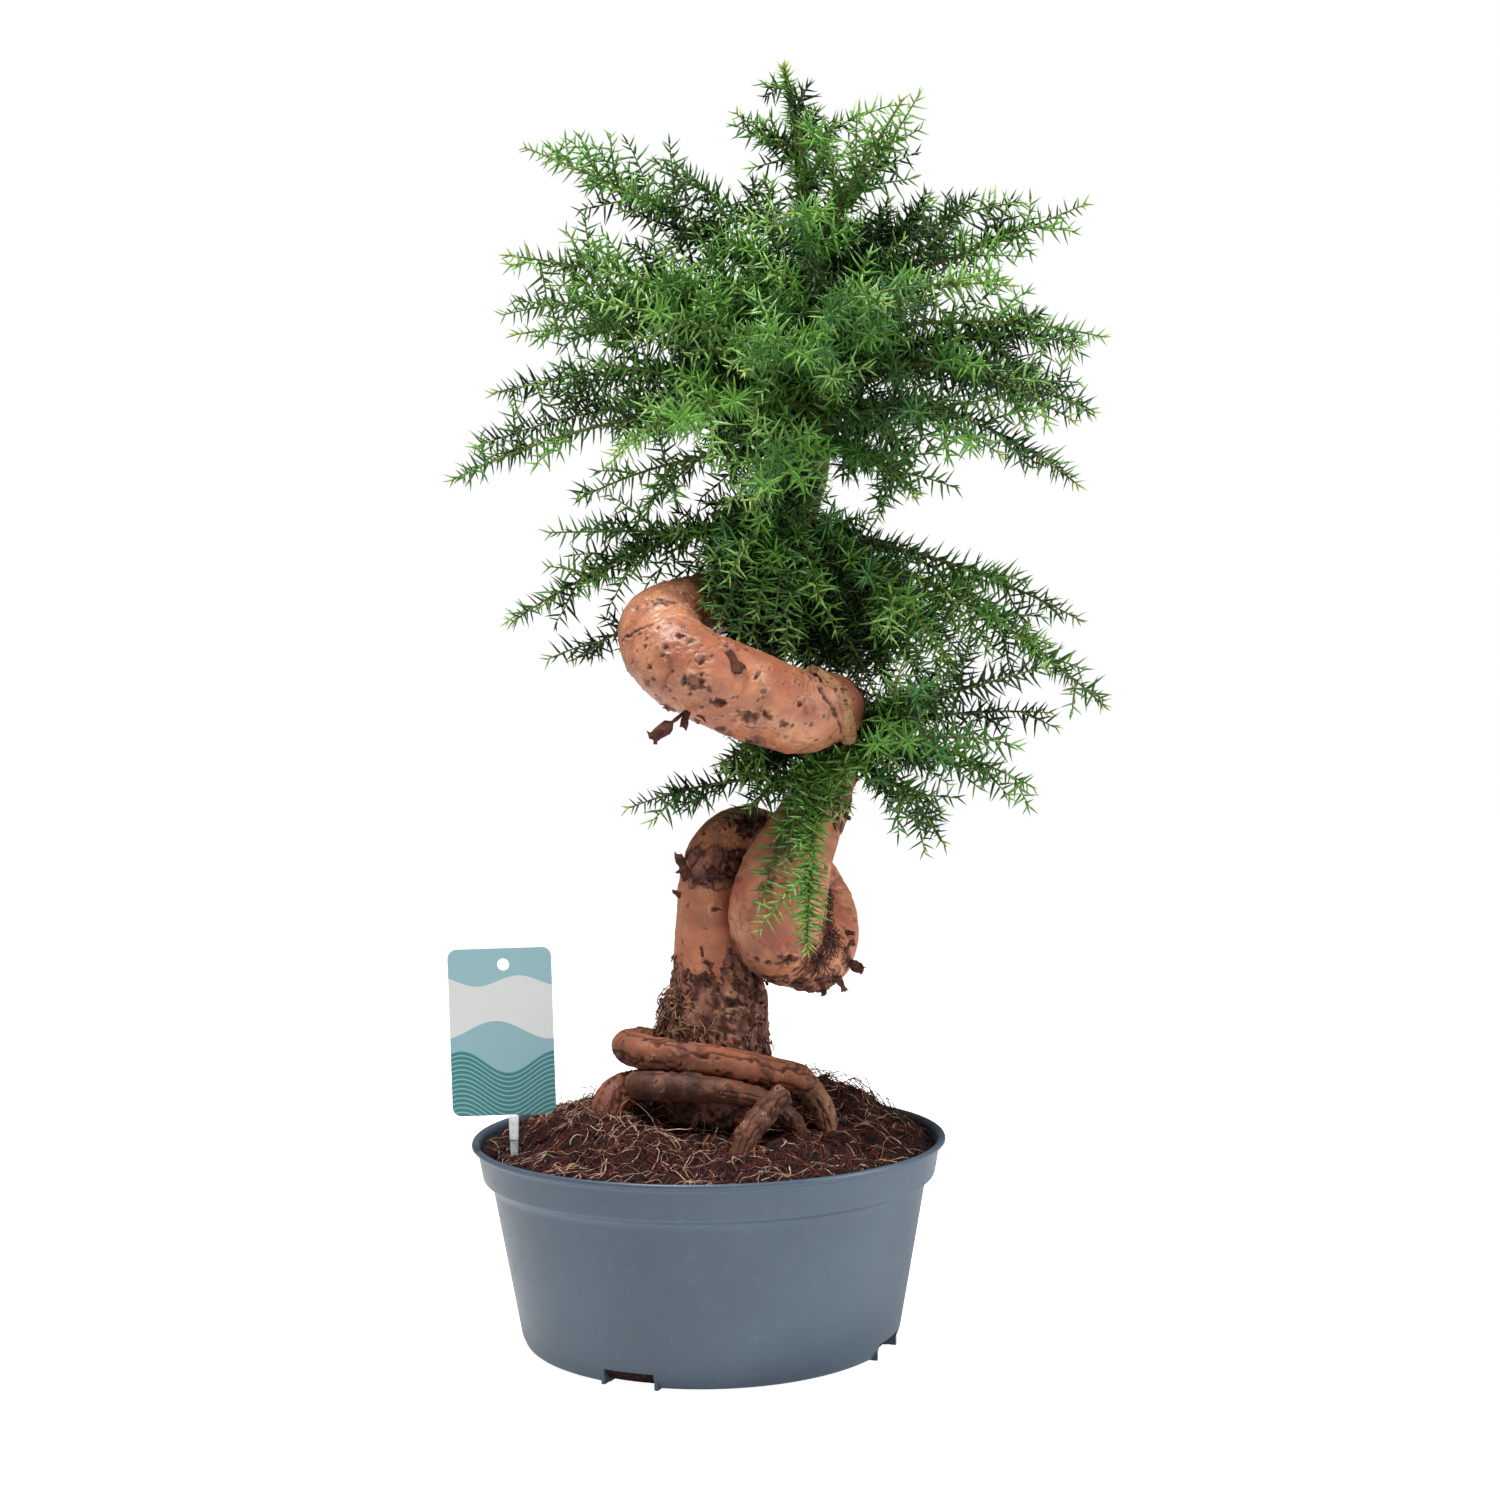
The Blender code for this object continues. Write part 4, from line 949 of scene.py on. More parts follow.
def old_share(points):
    """Where the brown outer bark still clings: the foot, and the named places."""
    height = points[:, 2]
    foot = np.maximum(on_foot(points), ramp(height, *LOBE_ABOVE))
    share = 1.15 * ramp(height, *OLD_BARK_FROM) * foot
    for x, y, z, radius in OLD_BARK:
        away = np.linalg.norm(points - (x, y, z), axis=1) / radius
        share = np.maximum(share, 1.05 * ramp(away, 1.35, 0.65))
    return share


def press_pits(spots, thick, along, count, seed, out, dark, rim):
    """Small pits at random, longer along the limb, each with a ragged lip and painted shade inside."""
    rng = np.random.default_rng(seed)
    for k in rng.choice(len(spots), count, replace=False):
        size = rng.choice((1.0, 1.3, 1.7, 2.3), p=(0.4, 0.32, 0.2, 0.08)) * (0.6 + thick[k] / 55)
        near = np.abs(spots - spots[k]).max(axis=1) < 5 * size
        gap = np.linalg.norm(spots[near] - spots[k], axis=1)
        gap = np.hypot(gap, 0.9 * (along[near] - along[k])) / size
        ragged = gap * (1 + 0.7 * noise(spots[near], 1.8, seed + 11))
        lip = np.exp(-((ragged - 1.35) / 0.32) ** 2)
        out[near] += size * (0.4 * lip - 0.7 * np.exp(-ragged ** 2 * 1.6))
        rim[near] = np.maximum(rim[near], lip * rng.uniform(0.2, 1.0))
        dark[near] = np.maximum(dark[near], ramp(ragged, 1.1, 0.5) * rng.uniform(0.5, 0.95))


def press_holes(spots, seed, out, dark, rim):
    """The named dark holes, with scraps of bark left in them; their darkness is part dark bark and part
    painted shade.
    """
    for x, y, z, radius in DARK_HOLES:
        nearest = np.linalg.norm(spots - (x, y, z), axis=1)
        if nearest.min() > HOLE_NEAR:
            continue
        gap = np.linalg.norm((spots - spots[nearest.argmin()]) * (0.8, 1.0, 1.3), axis=1) / radius
        ragged = gap * (1 + 0.6 * noise(spots, 2.4, seed + 12)) + 0.4 * noise(spots, 1.7, seed + 13)
        lip = np.exp(-((ragged - 1.15) / 0.22) ** 2)
        scrap = ramp(noise(spots, 2.2, seed + 26), -0.5, 0.5)
        out += 0.9 * lip + (2.2 * scrap - 1.9) * np.exp(-ragged ** 2 * 1.5)
        rim[:] = np.maximum(rim, lip)
        dark[:] = np.maximum(dark, (0.95 - 0.45 * scrap) * ramp(ragged, 1.0, 0.8))


def open_cracks(spots, seed, out, dark, rim):
    """The named cracks, which wander and have raised edges, with painted shade inside them."""
    for crack in CRACKS:
        nearest = [np.linalg.norm(spots - place, axis=1) for place in crack]
        if max(away.min() for away in nearest) > CRACK_NEAR:
            continue
        line = curve_through([(*spots[away.argmin()], 0) for away in nearest], 3.0)[0][:, :3]
        wander = 1.3 * np.stack([noise(spots, 4.0, seed + k) for k in (14, 15, 16)], axis=1)
        gap = distance_to_line(spots + wander, line)
        lip = np.exp(-((gap - 1.8) / 0.7) ** 2)
        out += 0.7 * lip - 1.6 * np.exp(-(gap / 0.8) ** 2)
        rim[:] = np.maximum(rim, 0.7 * lip)
        dark[:] = np.maximum(dark, ramp(gap, 1.4, 0.6))


def bark_relief(obj, path, sides, seed, pits, old, splits=0.0, rugged=0.5):
    """Push a swept limb into lumps, creases, pits, cracks, long splits and plates of old bark, with
    painted shade in their hollows.
    """
    mesh = obj.data
    spots, ways = places_of(mesh), outward_of(mesh)
    along = np.repeat(run_of(path), sides)
    turn = 2 * np.pi * (np.arange(len(spots)) % sides) / sides
    heading = np.gradient(path[:, :3], axis=0)
    heading /= np.linalg.norm(heading, axis=1)[:, None]
    bend = np.linalg.norm(np.gradient(heading, axis=0), axis=1) / BARK_STEP
    bend = ramp(np.repeat(bend, sides), 0.004, 0.022)
    thick = np.repeat(path[:, 3], sides)
    girth = np.c_[thick * np.cos(turn), thick * np.sin(turn)]

    out = 0.055 * thick * noise(spots, 27.0, seed) + 0.028 * thick * noise(spots, 12.0, seed + 1)
    out += 0.22 * noise(spots, 6.0, seed + 17)
    rounds = np.c_[along, 0.22 * girth]
    crease = 1 - np.abs(noise(rounds, 3.4, seed + 2) + 0.35 * noise(spots, 5.0, seed + 3))
    crease = ramp(crease, 0.86, 0.99) * ramp(noise(spots, 16.0, seed + 18) + 0.9 * bend, 0.1, 0.7)
    out += (0.06 + 0.2 * bend) * noise(rounds, 2.0, seed + 19) - 0.5 * crease * (0.35 + 0.65 * bend)
    streak = ramp(noise(rounds, 2.6, seed + 4) + 0.7 * noise(spots, 14.0, seed + 5), 0.3, 0.95)
    # Painted shade in the creases, deepest where the limb bends.
    dark = 0.42 * crease * (0.3 + 0.7 * bend)
    rim = np.zeros(len(spots))

    tall = spots * (1.0, 1.0, 0.5)
    plate = noise(tall, 9.0, seed + 6) + 0.6 * noise(tall, 4.0, seed + 7)
    plate += 0.45 * noise(spots, 2.2, seed + 8)
    limit = 1.12 - 1.75 * old
    cling = ramp(plate, limit, limit + 0.10)
    edge = ramp(plate, limit - 0.12, limit) * (1 - ramp(plate, limit + 0.1, limit + 0.3))
    rough = noise(tall, 7.0, seed + 9) + 0.5 * noise(tall, 3.0, seed + 10)
    rough += 0.25 * noise(tall, 1.5, seed + 27)
    gaps = 1 - np.abs(noise(tall, 9.0, seed + 20) + 0.4 * noise(spots, 3.0, seed + 21))
    gaps = ramp(gaps, 0.84, 0.97) * ramp(old, 0.35, 0.9)
    out += cling * (0.55 + 0.35 * old + (0.15 + 0.75 * old) * rugged * rough) - 1.2 * gaps * cling
    # Painted shade along the plates' edges, in their low places and in the gaps between them.
    dark = np.maximum(dark, 0.75 * edge * (0.4 + old))
    dark = np.maximum(dark, 0.75 * cling * ramp(rough, -0.35, -1.0))
    dark = np.maximum(dark, 0.9 * gaps * cling)

    if np.any(splits):
        sway = 1.6 * noise(np.c_[along, 0 * girth], 14.0, seed + 22)
        lanes = np.c_[0.09 * along, girth + sway[:, None]]
        split = 1 - np.abs(noise(lanes, 4.2, seed + 23) + 0.25 * noise(spots, 3.0, seed + 24))
        split = ramp(split, 0.84, 0.98) * splits
        out += 0.25 * noise(lanes, 2.6, seed + 25) - 0.9 * split
        # Painted shade in the splits.
        dark = np.maximum(dark, 0.95 * split)

    press_pits(spots, thick, along, pits, seed, out, dark, rim)
    press_holes(spots, seed, out, dark, rim)
    open_cracks(spots, seed, out, dark, rim)
    spots += ways * out[:, None]
    mesh.vertices.foreach_set("co", spots.ravel())
    mesh.update()
    store(mesh, "old", cling * (0.35 + 0.65 * ramp(old, 0.0, 0.5)))
    store(mesh, "dark", dark)
    store(mesh, "rim", 0.5 * rim)
    store(mesh, "streak", 0.42 * streak)
    close_ends(obj)


def make_trunk():
    """The knotted trunk in two runs, and the leader above it."""
    (lower_names, lower, _), (upper_names, upper, marks) = trunk_runs(BARK_STEP)
    cut = marks[-len(TRUNK_ROUTE["leader"])]
    limbs = []
    for name, path, seed, pits in (("bark_lower", np.vstack([TRUNK_BASE, lower]), 20, 120),
                                   ("bark_upper", domed(upper[:cut + 1], TRUNK_DOME), 60, 680)):
        limb = sweep(name, [path], BARK_SIDES, capped=False)
        spots = places_of(limb.data)
        rugged = 0.35 + 0.65 * np.max([ramp(np.linalg.norm(spots - row[:3], axis=1) / row[3], 1.2, 0.8)
                                       for row in RUGGED], axis=0)
        splits = 0.7 * ramp(spots[:, 2], *SPLITS_FROM) * on_foot(spots)
        bark_relief(limb, path, BARK_SIDES, seed, pits, old_share(spots), splits, rugged)
        limbs.append(limb)
    flakes = make_flakes(limbs)
    make_collar(limbs[1])
    make_hairs(limbs, "dark_rootlets", DARK_HAIRS, coir_fibre("damp_rootlet", "#2A130D", "#5E3626"))
    make_hairs(limbs, "pale_rootlets", PALE_HAIRS, coir_fibre("dry_rootlet", "#6A4634", "#B08A6C"))
    colours = ("#A65D43", "#D08E68", "#50302A", "#93604F")
    matt = bark_skin("matt_pine_bark", *colours, (0.42, 0.56), 0.05)
    finish_piece(limbs[0], matt, lower_names)
    finish_piece(limbs[1], bark_skin("glossy_pine_bark", *colours), upper_names[:-1])
    finish_piece(flakes, cork_flake())
    leader = sweep("leader_stem", [upper[cut:]], LEADER_SIDES)
    roughen(leader, (0.35, 5.0, 90), (0.25, 2.2, 91))
    green = green_twig("green_leader_bark", "#3D3F20", "#626A34")
    finish_piece(leader, green, ["leader"])


def add_flake(bm, rng, at, out, lie, length, width, curl, neck=0.0):
    """A ragged chip of bark, fixed at one end and curling outwards at the other."""
    made = bmesh.ops.create_grid(bm, x_segments=10 if neck else 6, y_segments=5, size=0.5)["verts"]
    side = out.cross(lie).normalized()
    waist = [rng.uniform(0.55, 1.1) for _ in range(12)]
    for vert in made:
        x, y = vert.co.x + 0.5, vert.co.y
        if abs(y) > 0.45:
            y *= rng.uniform(0.8, 1.1) * waist[int(11 * x)]
        if x > 0.95:
            x *= rng.uniform(0.86, 1.06)
        if x < neck:
            y *= 0.2
        rise = curl * x * x + 0.05 * math.sin(5 * y + 3 * x)
        vert.co = at + lie * (x * length) + side * (y * width * (1.0 - 0.25 * x)) + out * (rise * length)
    faces = list({face for vert in made for face in vert.link_faces})
    raised = bmesh.ops.extrude_face_region(bm, geom=faces)["geom"]
    lifted = [v for v in raised if isinstance(v, bmesh.types.BMVert)]
    bmesh.ops.translate(bm, verts=lifted, vec=out * FLAKE_T)


def make_flakes(limbs):
    """Loose chips of bark, at the named places and scattered over the old bark."""
    rng = random.Random(31)
    bm = bmesh.new()
    spots, ways = skin_of(limbs)
    for at, lie, out, length, width, curl, neck in FLAKES:
        out, lie = Vector(out).normalized(), Vector(lie).normalized()
        out = (out - lie * out.dot(lie)).normalized()
        k = int(np.linalg.norm(spots - at, axis=1).argmin())
        add_flake(bm, rng, Vector(spots[k] - 0.3 * ways[k]), out, lie, length, width, curl, neck)
    old = np.flatnonzero(old_share(spots) > 0.45)
    for k in rng.sample(list(old), SCATTERED_FLAKES):
        out = Vector(ways[k])
        lie = out.cross(Vector((rng.gauss(0, 1), rng.gauss(0, 1), rng.gauss(0, 1)))).normalized()
        length, width, curl = rng.uniform(2.5, 8), rng.uniform(1.8, 4.5), rng.uniform(0.05, 0.5)
        add_flake(bm, rng, Vector(spots[k]), out, lie, length, width, curl)
    obj = object_from(bm, "bark_flakes")
    obj.data.shade_smooth()
    return obj


def make_collar(limb):
    """The roll of torn bark where the strand meets the riser."""
    spots, ways = skin_of([limb])
    nearest = [np.linalg.norm(spots - knot[:3], axis=1).argmin() for knot in COLLAR]
    knots = [(*(spots[k] - 0.5 * ways[k]), knot[3]) for k, knot in zip(nearest, COLLAR)]
    path = curve_through(knots, COLLAR_STEP)[0]
    collar = sweep("torn_bark_collar", [path], ROOT_SIDES, capped=False)
    roughen(collar, (1.3, 5.0, 301), (0.7, 2.2, 302))
    bark_relief(collar, path, ROOT_SIDES, 310, 36, np.full(len(collar.data.vertices), 0.38))
    torn = bark_skin("torn_bark", "#A8774F", "#CCA077", "#5A3A28", "#8D6444", (0.55, 0.75), 0.0)
    finish_piece(collar, torn)


def make_hairs(limbs, name, places, skin):
    """Wiry rootlets that cling to the foot and hang in the seam of the lobe."""
    rng = np.random.default_rng(44)
    spots, ways = skin_of(limbs)
    lines = []
    for x, y, z, spread, count, short, long in places:
        near = np.flatnonzero(np.linalg.norm(spots - (x, y, z), axis=1) < 20 + 2 * spread)
        for _ in range(count):
            at = np.array((x, y, z)) + rng.normal(0, spread * 0.6, 3)
            way = rng.normal(0, 0.8, 3) + (0, 0, -1.2)
            length = rng.uniform(short, long)
            rise = rng.uniform(0.4, 4.0)
            line = []
            for t in np.linspace(0, 1, HAIR_STEPS + 1):
                k = near[np.linalg.norm(spots[near] - at, axis=1).argmin()]
                at = spots[k] + ways[k] * (0.3 + rise * math.sin(math.pi * t))
                line.append((*at, 0.42 * (1 - 0.55 * t)))
                way = way / np.linalg.norm(way) + rng.normal(0, 0.4, 3)
                at = at + way * length / HAIR_STEPS / np.linalg.norm(way)
            lines.append(np.array(line))
    finish_piece(sweep(name, lines, 4), skin)


def make_roots():
    """The surface roots: split bark, lit on some and darkened as painted shade on the shaded ones, and one
    dry end.
    """
    # A lit copy of the bark, and a darker copy as painted shade for the roots in shade.
    lit = bark_skin("lit_split_root_bark", "#6F3B26", "#98593A", "#42231A", "#6A4532", (0.52, 0.68), 0.0)
    shaded = bark_skin("shaded_root_bark", "#371A10", "#6A3A20", "#24130E", "#43271B", (0.55, 0.7), 0.0)
    pale = bark_skin("pale_root_bark", "#7A5238", "#A97E56", "#45301E", "#77563A", (0.6, 0.75), 0.0)
    for seed, (name, knots) in enumerate(ROOTS.items()):
        path = curve_through(knots, ROOT_STEP)[0]
        root = sweep(name + "_bark", [path], ROOT_SIDES, capped=False)
        old = np.full(len(root.data.vertices), 0.2)
        bark_relief(root, path, ROOT_SIDES, 120 + 30 * seed, 30, old, 1.0)
        skin = pale if name == PALE_ROOT else shaded if name in SHADED_ROOTS else lit
        finish_piece(root, skin, [name])


def limb_pieces():
    """The trunk's lengths as coarse paths, for keeping twigs clear of them."""
    pieces = {}
    for names, path, marks in trunk_runs(SOLID_STEP):
        first = 0
        for name in names:
            last = first + len(TRUNK_ROUTE[name])
            end = marks[last] - 1 if last < len(marks) else marks[-1]
            pieces[name] = path[max(0, marks[first] - 1):end + 1]
            first = last
    return pieces


def bough_axes(pieces):
    """The middle line of each bough, from inside the limb that bears it to its tip."""
    leader = pieces["leader"]
    rows = {}
    for name, (z, bearing, reach, rise, lift) in BOUGHS.items():
        limb = [float(np.interp(z, leader[:, 2], leader[:, k])) for k in (0, 1, 2, 3)]
        rows[name] = (*limb, bearing, reach, rise, lift)
    rows.update(LOW_BOUGHS)
    axes = {}
    for name, (x, y, z, radius, bearing, reach, rise, lift) in rows.items():
        a = math.radians(bearing)
        out = np.array((math.cos(a), math.sin(a), 0.0))
        t = np.linspace(0.5 * radius / reach, 1.0, BOUGH_STEPS)[:, None]
        axes[name] = np.array((x, y, z)) + out * reach * t + UP * (lift * t + (rise - lift) * t * t)
    return axes


def clear_of_limbs(points, pieces, margin):
    """Whether all points lie at least a margin from the trunk."""
    for path in pieces.values():
        t, away = reach_of(points, path)
        radius = path[:-1, 3] + t * (path[1:, 3] - path[:-1, 3])
        if (away - radius).min() < margin:
            return False
    return True


def in_own_space(points, name, axes, pieces, margin=SPACE):
    """Whether all points lie nearer to their own bough than to others, and clear of the trunk."""
    own = distance_to_line(points, axes[name])
    for other, line in axes.items():
        if other != name and (distance_to_line(points, line) < own + margin).any():
            return False
    return clear_of_limbs(points, pieces, 1.0)


def point_on(axis, run, s):
    """Place and heading at a distance along a line."""
    here = np.array([np.interp(s, run, axis[:, j]) for j in range(3)])
    ahead = np.array([np.interp(min(s + 3.0, run[-1]), run, axis[:, j]) for j in range(3)])
    return here, (ahead - here) / np.linalg.norm(ahead - here)


def run_of(axis):
    """Distance along a line at each of its points."""
    return np.concatenate(([0.0], np.cumsum(np.linalg.norm(np.diff(axis[:, :3], axis=0), axis=1))))


def sides_on(axis, run, s):
    """Place, heading, level side and upper side at a distance along a line."""
    here, forward = point_on(axis, run, s)
    level = np.cross(forward, UP)
    level /= np.linalg.norm(level)
    return here, forward, level, np.cross(level, forward)


def twig_line(root, way, bend, size, points):
    """A twig that leaves its root along one way and bends towards another."""
    return np.array([root + way * size * t + bend * size * t * t for t in np.linspace(0, 1, points)])


def side_twigs(name, axes, pieces, seed):
    """The solid's own side twigs, by the same seeded rule."""
    rng = random.Random(seed)
    axis = axes[name]
    run = run_of(axis)
    found = []
    s = run[-1] * TWIG_FROM
    turn = rng.choice((-1, 1))
    while s < run[-1] - 8.0:
        root, forward, level, over = sides_on(axis, run, s)
        roll = math.radians(rng.uniform(-38, 38)) + (0.0 if turn > 0 else math.pi)
        out = level * math.cos(roll) + over * math.sin(roll)
        angle = TWIG_ANGLE + math.radians(rng.uniform(-7, 7))
        share = s / run[-1]
        grow = TWIG_LENGTH * min(1.0, 0.55 + share * 1.5) * (1.0 - 0.72 * share ** 1.6)
        grow *= rng.uniform(0.85, 1.1)
        way = forward * math.cos(angle) + out * math.sin(angle)
        face_roll = math.radians(rng.uniform(20, 70)) * rng.choice((-1, 1))
        across = np.cross(way, over)
        across /= np.linalg.norm(across)
        across = across * math.cos(face_roll) + np.cross(way, across) * math.sin(face_roll)
        bend = forward * 0.16 - UP * TWIG_SAG
        for part in (1.0, 0.75, 0.5, 0.32):
            line = twig_line(root, way, bend, grow * part, 5)
            edges = np.vstack([line[1:], line[1:] + across * TEETH, line[1:] - across * TEETH])
            if not clear_of_limbs(line[:1], pieces, 3.0):
                break
            if in_own_space(edges, name, axes, pieces):
                found.append(line)
                break
        turn = -turn
        s += TWIG_STEP * rng.uniform(0.85, 1.15)
    return found


def in_bay(points):
    """Whether a twig reaches into a bay of sky."""
    eye = np.array(CAMERA_AT) / MM
    nearer = (-eye[1] / (points[:, 1] - eye[1]))[:, None]
    seen = eye[[0, 2]] + (points[:, [0, 2]] - eye[[0, 2]]) * nearer
    return any((((seen - (x, z)) / (wide, high)) ** 2).sum(axis=1).min() < 1 for x, z, wide, high in BAYS)


def fine_twigs(name, axes, pieces, seed):
    """Shorter twigs all round a bough, between the solid's own."""
    rng = random.Random(500 + seed)
    axis = axes[name]
    run = run_of(axis)
    found = []
    s = run[-1] * FINE_FROM
    roll = rng.uniform(0, 2 * math.pi)
    steep = (axis[-1, 2] - axis[0, 2]) / run[-1]
    longest = min(FINE_LENGTH, FINE_SHARE * run[-1]) * (0.5 if steep < -0.62 else 1.0)
    upward = ramp(axis[-1, 2] - axis[0, 2], -10.0, 60.0)
    while s < run[-1] - min(BARE_END, 0.3 * run[-1]):
        root, forward, level, over = sides_on(axis, run, s)
        out = level * math.cos(roll) + over * (math.sin(roll) * 0.8 + 0.5 * upward)
        out /= np.linalg.norm(out)
        share = s / run[-1]
        size = longest * (1.0 - 0.72 * share ** 1.6) * rng.uniform(0.55, 1.1)
        angle = math.radians(rng.uniform(44, 68))
        way = forward * math.cos(angle) + out * math.sin(angle)
        bend = forward * 0.2 - UP * rng.uniform(0.0, 0.16)
        line = twig_line(root, way, bend, size, 6)
        if clear_of_limbs(line[:1], pieces, 1.0) and clear_of_limbs(line[3:], pieces, 6.0):
            if in_own_space(line[3:5], name, axes, {}, -FINE_OVERLAP) and not in_bay(line):
                found.append(line)
        roll += NEEDLE_TURN + rng.uniform(-0.5, 0.5)
        s += FINE_STEP * rng.uniform(0.7, 1.3)
    return found


def standing_twigs(name, axis):
    """The twigs that stand up from a bough and curve back a little, or hang from it."""
    found = []
    run = run_of(axis)
    t = np.linspace(0, 1, 6)[:, None]
    for share, length in STANDING_TWIGS.get(name, ()):
        root, forward = point_on(axis, run, share * run[-1])
        found.append(root + (UP * 0.96 + forward * 0.3) * length * t - forward * 0.12 * length * t * t)
    return found


def grow_needles(line, rng, pitch, ease, kind, tuft_kind):
    """Needles in a spiral along a twig: root, heading, lean, length and kind of each."""
    run = run_of(line)
    s = np.arange(pitch, run[-1] + 0.6, pitch)
    count = len(s)
    here = np.stack([np.interp(s, run, line[:, j]) for j in range(3)], axis=1)
    heading = np.gradient(line[:, :3], axis=0)
    ahead = np.stack([np.interp(s, run, heading[:, j]) for j in range(3)], axis=1)
    ahead /= np.linalg.norm(ahead, axis=1)[:, None]
    upright = np.abs(ahead[:, 2:3]) > 0.9
    side = np.cross(ahead, np.where(upright, np.array((1.0, 0.0, 0.0)), UP))
    side /= np.linalg.norm(side, axis=1)[:, None]
    other = np.cross(ahead, side)
    turn = np.arange(count) * NEEDLE_TURN + rng.uniform(0, 6.28) + rng.normal(0, 0.16, count)
    out = side * np.cos(turn)[:, None] + other * np.sin(turn)[:, None]
    to_tip = np.clip((run[-1] - s) / BUD, 0, 1)
    angle = np.radians(rng.normal(76, 6, count)) * (0.42 + 0.58 * to_tip ** 0.6)
    short = 0.48 + 0.52 * np.clip((run[-1] - s) / ease, 0, 1) ** 0.8
    size = NEEDLE_LENGTH * rng.uniform(0.82, 1.12, count) * short
    kinds = np.where(to_tip < 0.6, tuft_kind, kind)
    return here, ahead, out, angle, size, kinds


def needle_mesh(name, here, ahead, out, angle, size):
    """All needles of one kind: closed three-sided spindles that bend towards the twig's tip."""
    way = ahead * np.cos(angle)[:, None] + out * np.sin(angle)[:, None]
    side = np.cross(ahead, out)
    keel = np.cross(way, side)
    wide = NEEDLE_WIDTH * np.clip(size / NEEDLE_LENGTH, 0.7, 1.1)
    rows = []
    for t, width in ((0.0, 0.0), (0.13, 1.0), (0.6, 0.68), (1.0, 0.0)):
        centre = here + way * (size * t)[:, None] + ahead * (0.14 * size * t * t)[:, None]
        if width == 0.0:
            rows.append(centre)
            continue
        half = (wide * width / 2)[:, None]
        rows += [centre - side * half, centre + side * half, centre + keel * half * 1.4]
    corners = np.stack(rows, axis=1)
    faces = [(0, 2, 1), (0, 3, 2), (0, 1, 3)]
    for k, j in ((0, 1), (1, 2), (2, 0)):
        faces += [(1 + k, 1 + j, 4 + j), (1 + k, 4 + j, 4 + k)]
    faces += [(4, 5, 7), (5, 6, 7), (6, 4, 7)]
    count = len(here)
    faces = (np.array(faces)[None] + 8 * np.arange(count)[:, None, None]).reshape(-1, 3)
    return mesh_from_arrays(name, corners.reshape(-1, 3), faces)


def mesh_from_arrays(name, corners, faces):
    """An object from arrays of corners and of triangles."""
    mesh = bpy.data.meshes.new(name)
    mesh.vertices.add(len(corners))
    mesh.vertices.foreach_set("co", corners.astype(np.float32).ravel())
    mesh.loops.add(faces.size)
    mesh.loops.foreach_set("vertex_index", faces.astype(np.int32).ravel())
    mesh.polygons.add(len(faces))
    mesh.polygons.foreach_set("loop_start", np.arange(0, faces.size, 3, dtype=np.int32))
    mesh.update(calc_edges=True)
    mesh.validate()
    mesh.shade_smooth()
    obj = bpy.data.objects.new(name, mesh)
    scene.collection.objects.link(obj)
    return obj


def spray_kind(rng, share, place):
    """The green of a spray: painted light in front, lighter at the top, and painted shade inside and under
    the crown.
    """
    x, y, z = place
    high = min(1.0, max(0.0, (z - 560) / 140))
    # Painted light: sprays at the front of the crown take the light green more often.
    front = float(ramp(-y, 0.0, 60.0) * ramp(x, 140.0, 90.0))
    # Painted shade: sprays inside the crown, and under it behind the strand, take the darkest green more
    # often.
    under = float(ramp(z, 425.0, 400.0) * ramp(y, -30.0, -10.0) * ramp(x, 120.0, 95.0))
    light = (0.03 + 0.08 * share + 0.12 * high + 0.34 * front) * (1 - under)
    shade = max(0.0, 0.52 - 0.5 * share - 0.3 * front) + 0.04 * (1 - front) + 0.9 * under
    weights = (light, 0.32 - 0.2 * under, 0.36, 0.14 - 0.08 * high, shade)
    return rng.choices((LIGHT, MID, DEEP, BLUE, SHADE), weights)[0]


def towards_camera(line):
    """Whether a twig points more or less at the camera, so that its tuft hides the rest of it."""
    return line[0, 1] - line[-1, 1] > END_ON * run_of(line)[-1]


def twig_needles(line, rng, spin, share, shade_pitch):
    """Needles of a side twig, whose tuft is often lighter than the rest."""
    kind = spray_kind(rng, share, line[-1])
    tuft = rng.choice([kind, kind, LIGHT])
    if towards_camera(line):
        kind = tuft = MID if kind == LIGHT else kind
    pitch = shade_pitch if kind == SHADE else NEEDLE_PITCH
    return grow_needles(line, spin, pitch, TWIG_EASE, kind, tuft)


def inner_axes(pieces):
    """Middle lines of the small boughs between the named ones, all round their limb."""
    rng = random.Random(77)
    rows = [(limb, *row) for limb, group in SINGLE_BOUGHS for row in group]
    for limb, count, low, high, near, far, fall, lift, bearing, spread in INNER_BOUGHS:
        for k in range(count):
            place = low + (high - low) * (k + rng.random()) / count
            share = (k * 0.618 + rng.uniform(-0.08, 0.08)) % 1.0
            reach = rng.uniform(near, far)
            rows.append((limb, place, bearing + spread * (2 * share - 1), reach,
                         reach * rng.uniform(fall, lift), reach * rng.uniform(0.05, 0.4)))
    found = []
    for limb, place, bearing, reach, rise, first in rows:
        path = pieces[limb]
        run = run_of(path)
        foot = np.array([np.interp(run[-1] * place, run, path[:, j]) for j in range(3)])
        turn = math.radians(bearing)
        out = np.array((math.cos(turn), math.sin(turn), 0.0))
        t = np.linspace(0.0, 1.0, 14)[:, None]
        axis = foot + out * reach * t + UP * (first * t + (rise - first) * t * t)
        if clear_of_limbs(axis[6:], pieces, 3.0) and not in_bay(axis[6:]):
            found.append(axis)
    return found


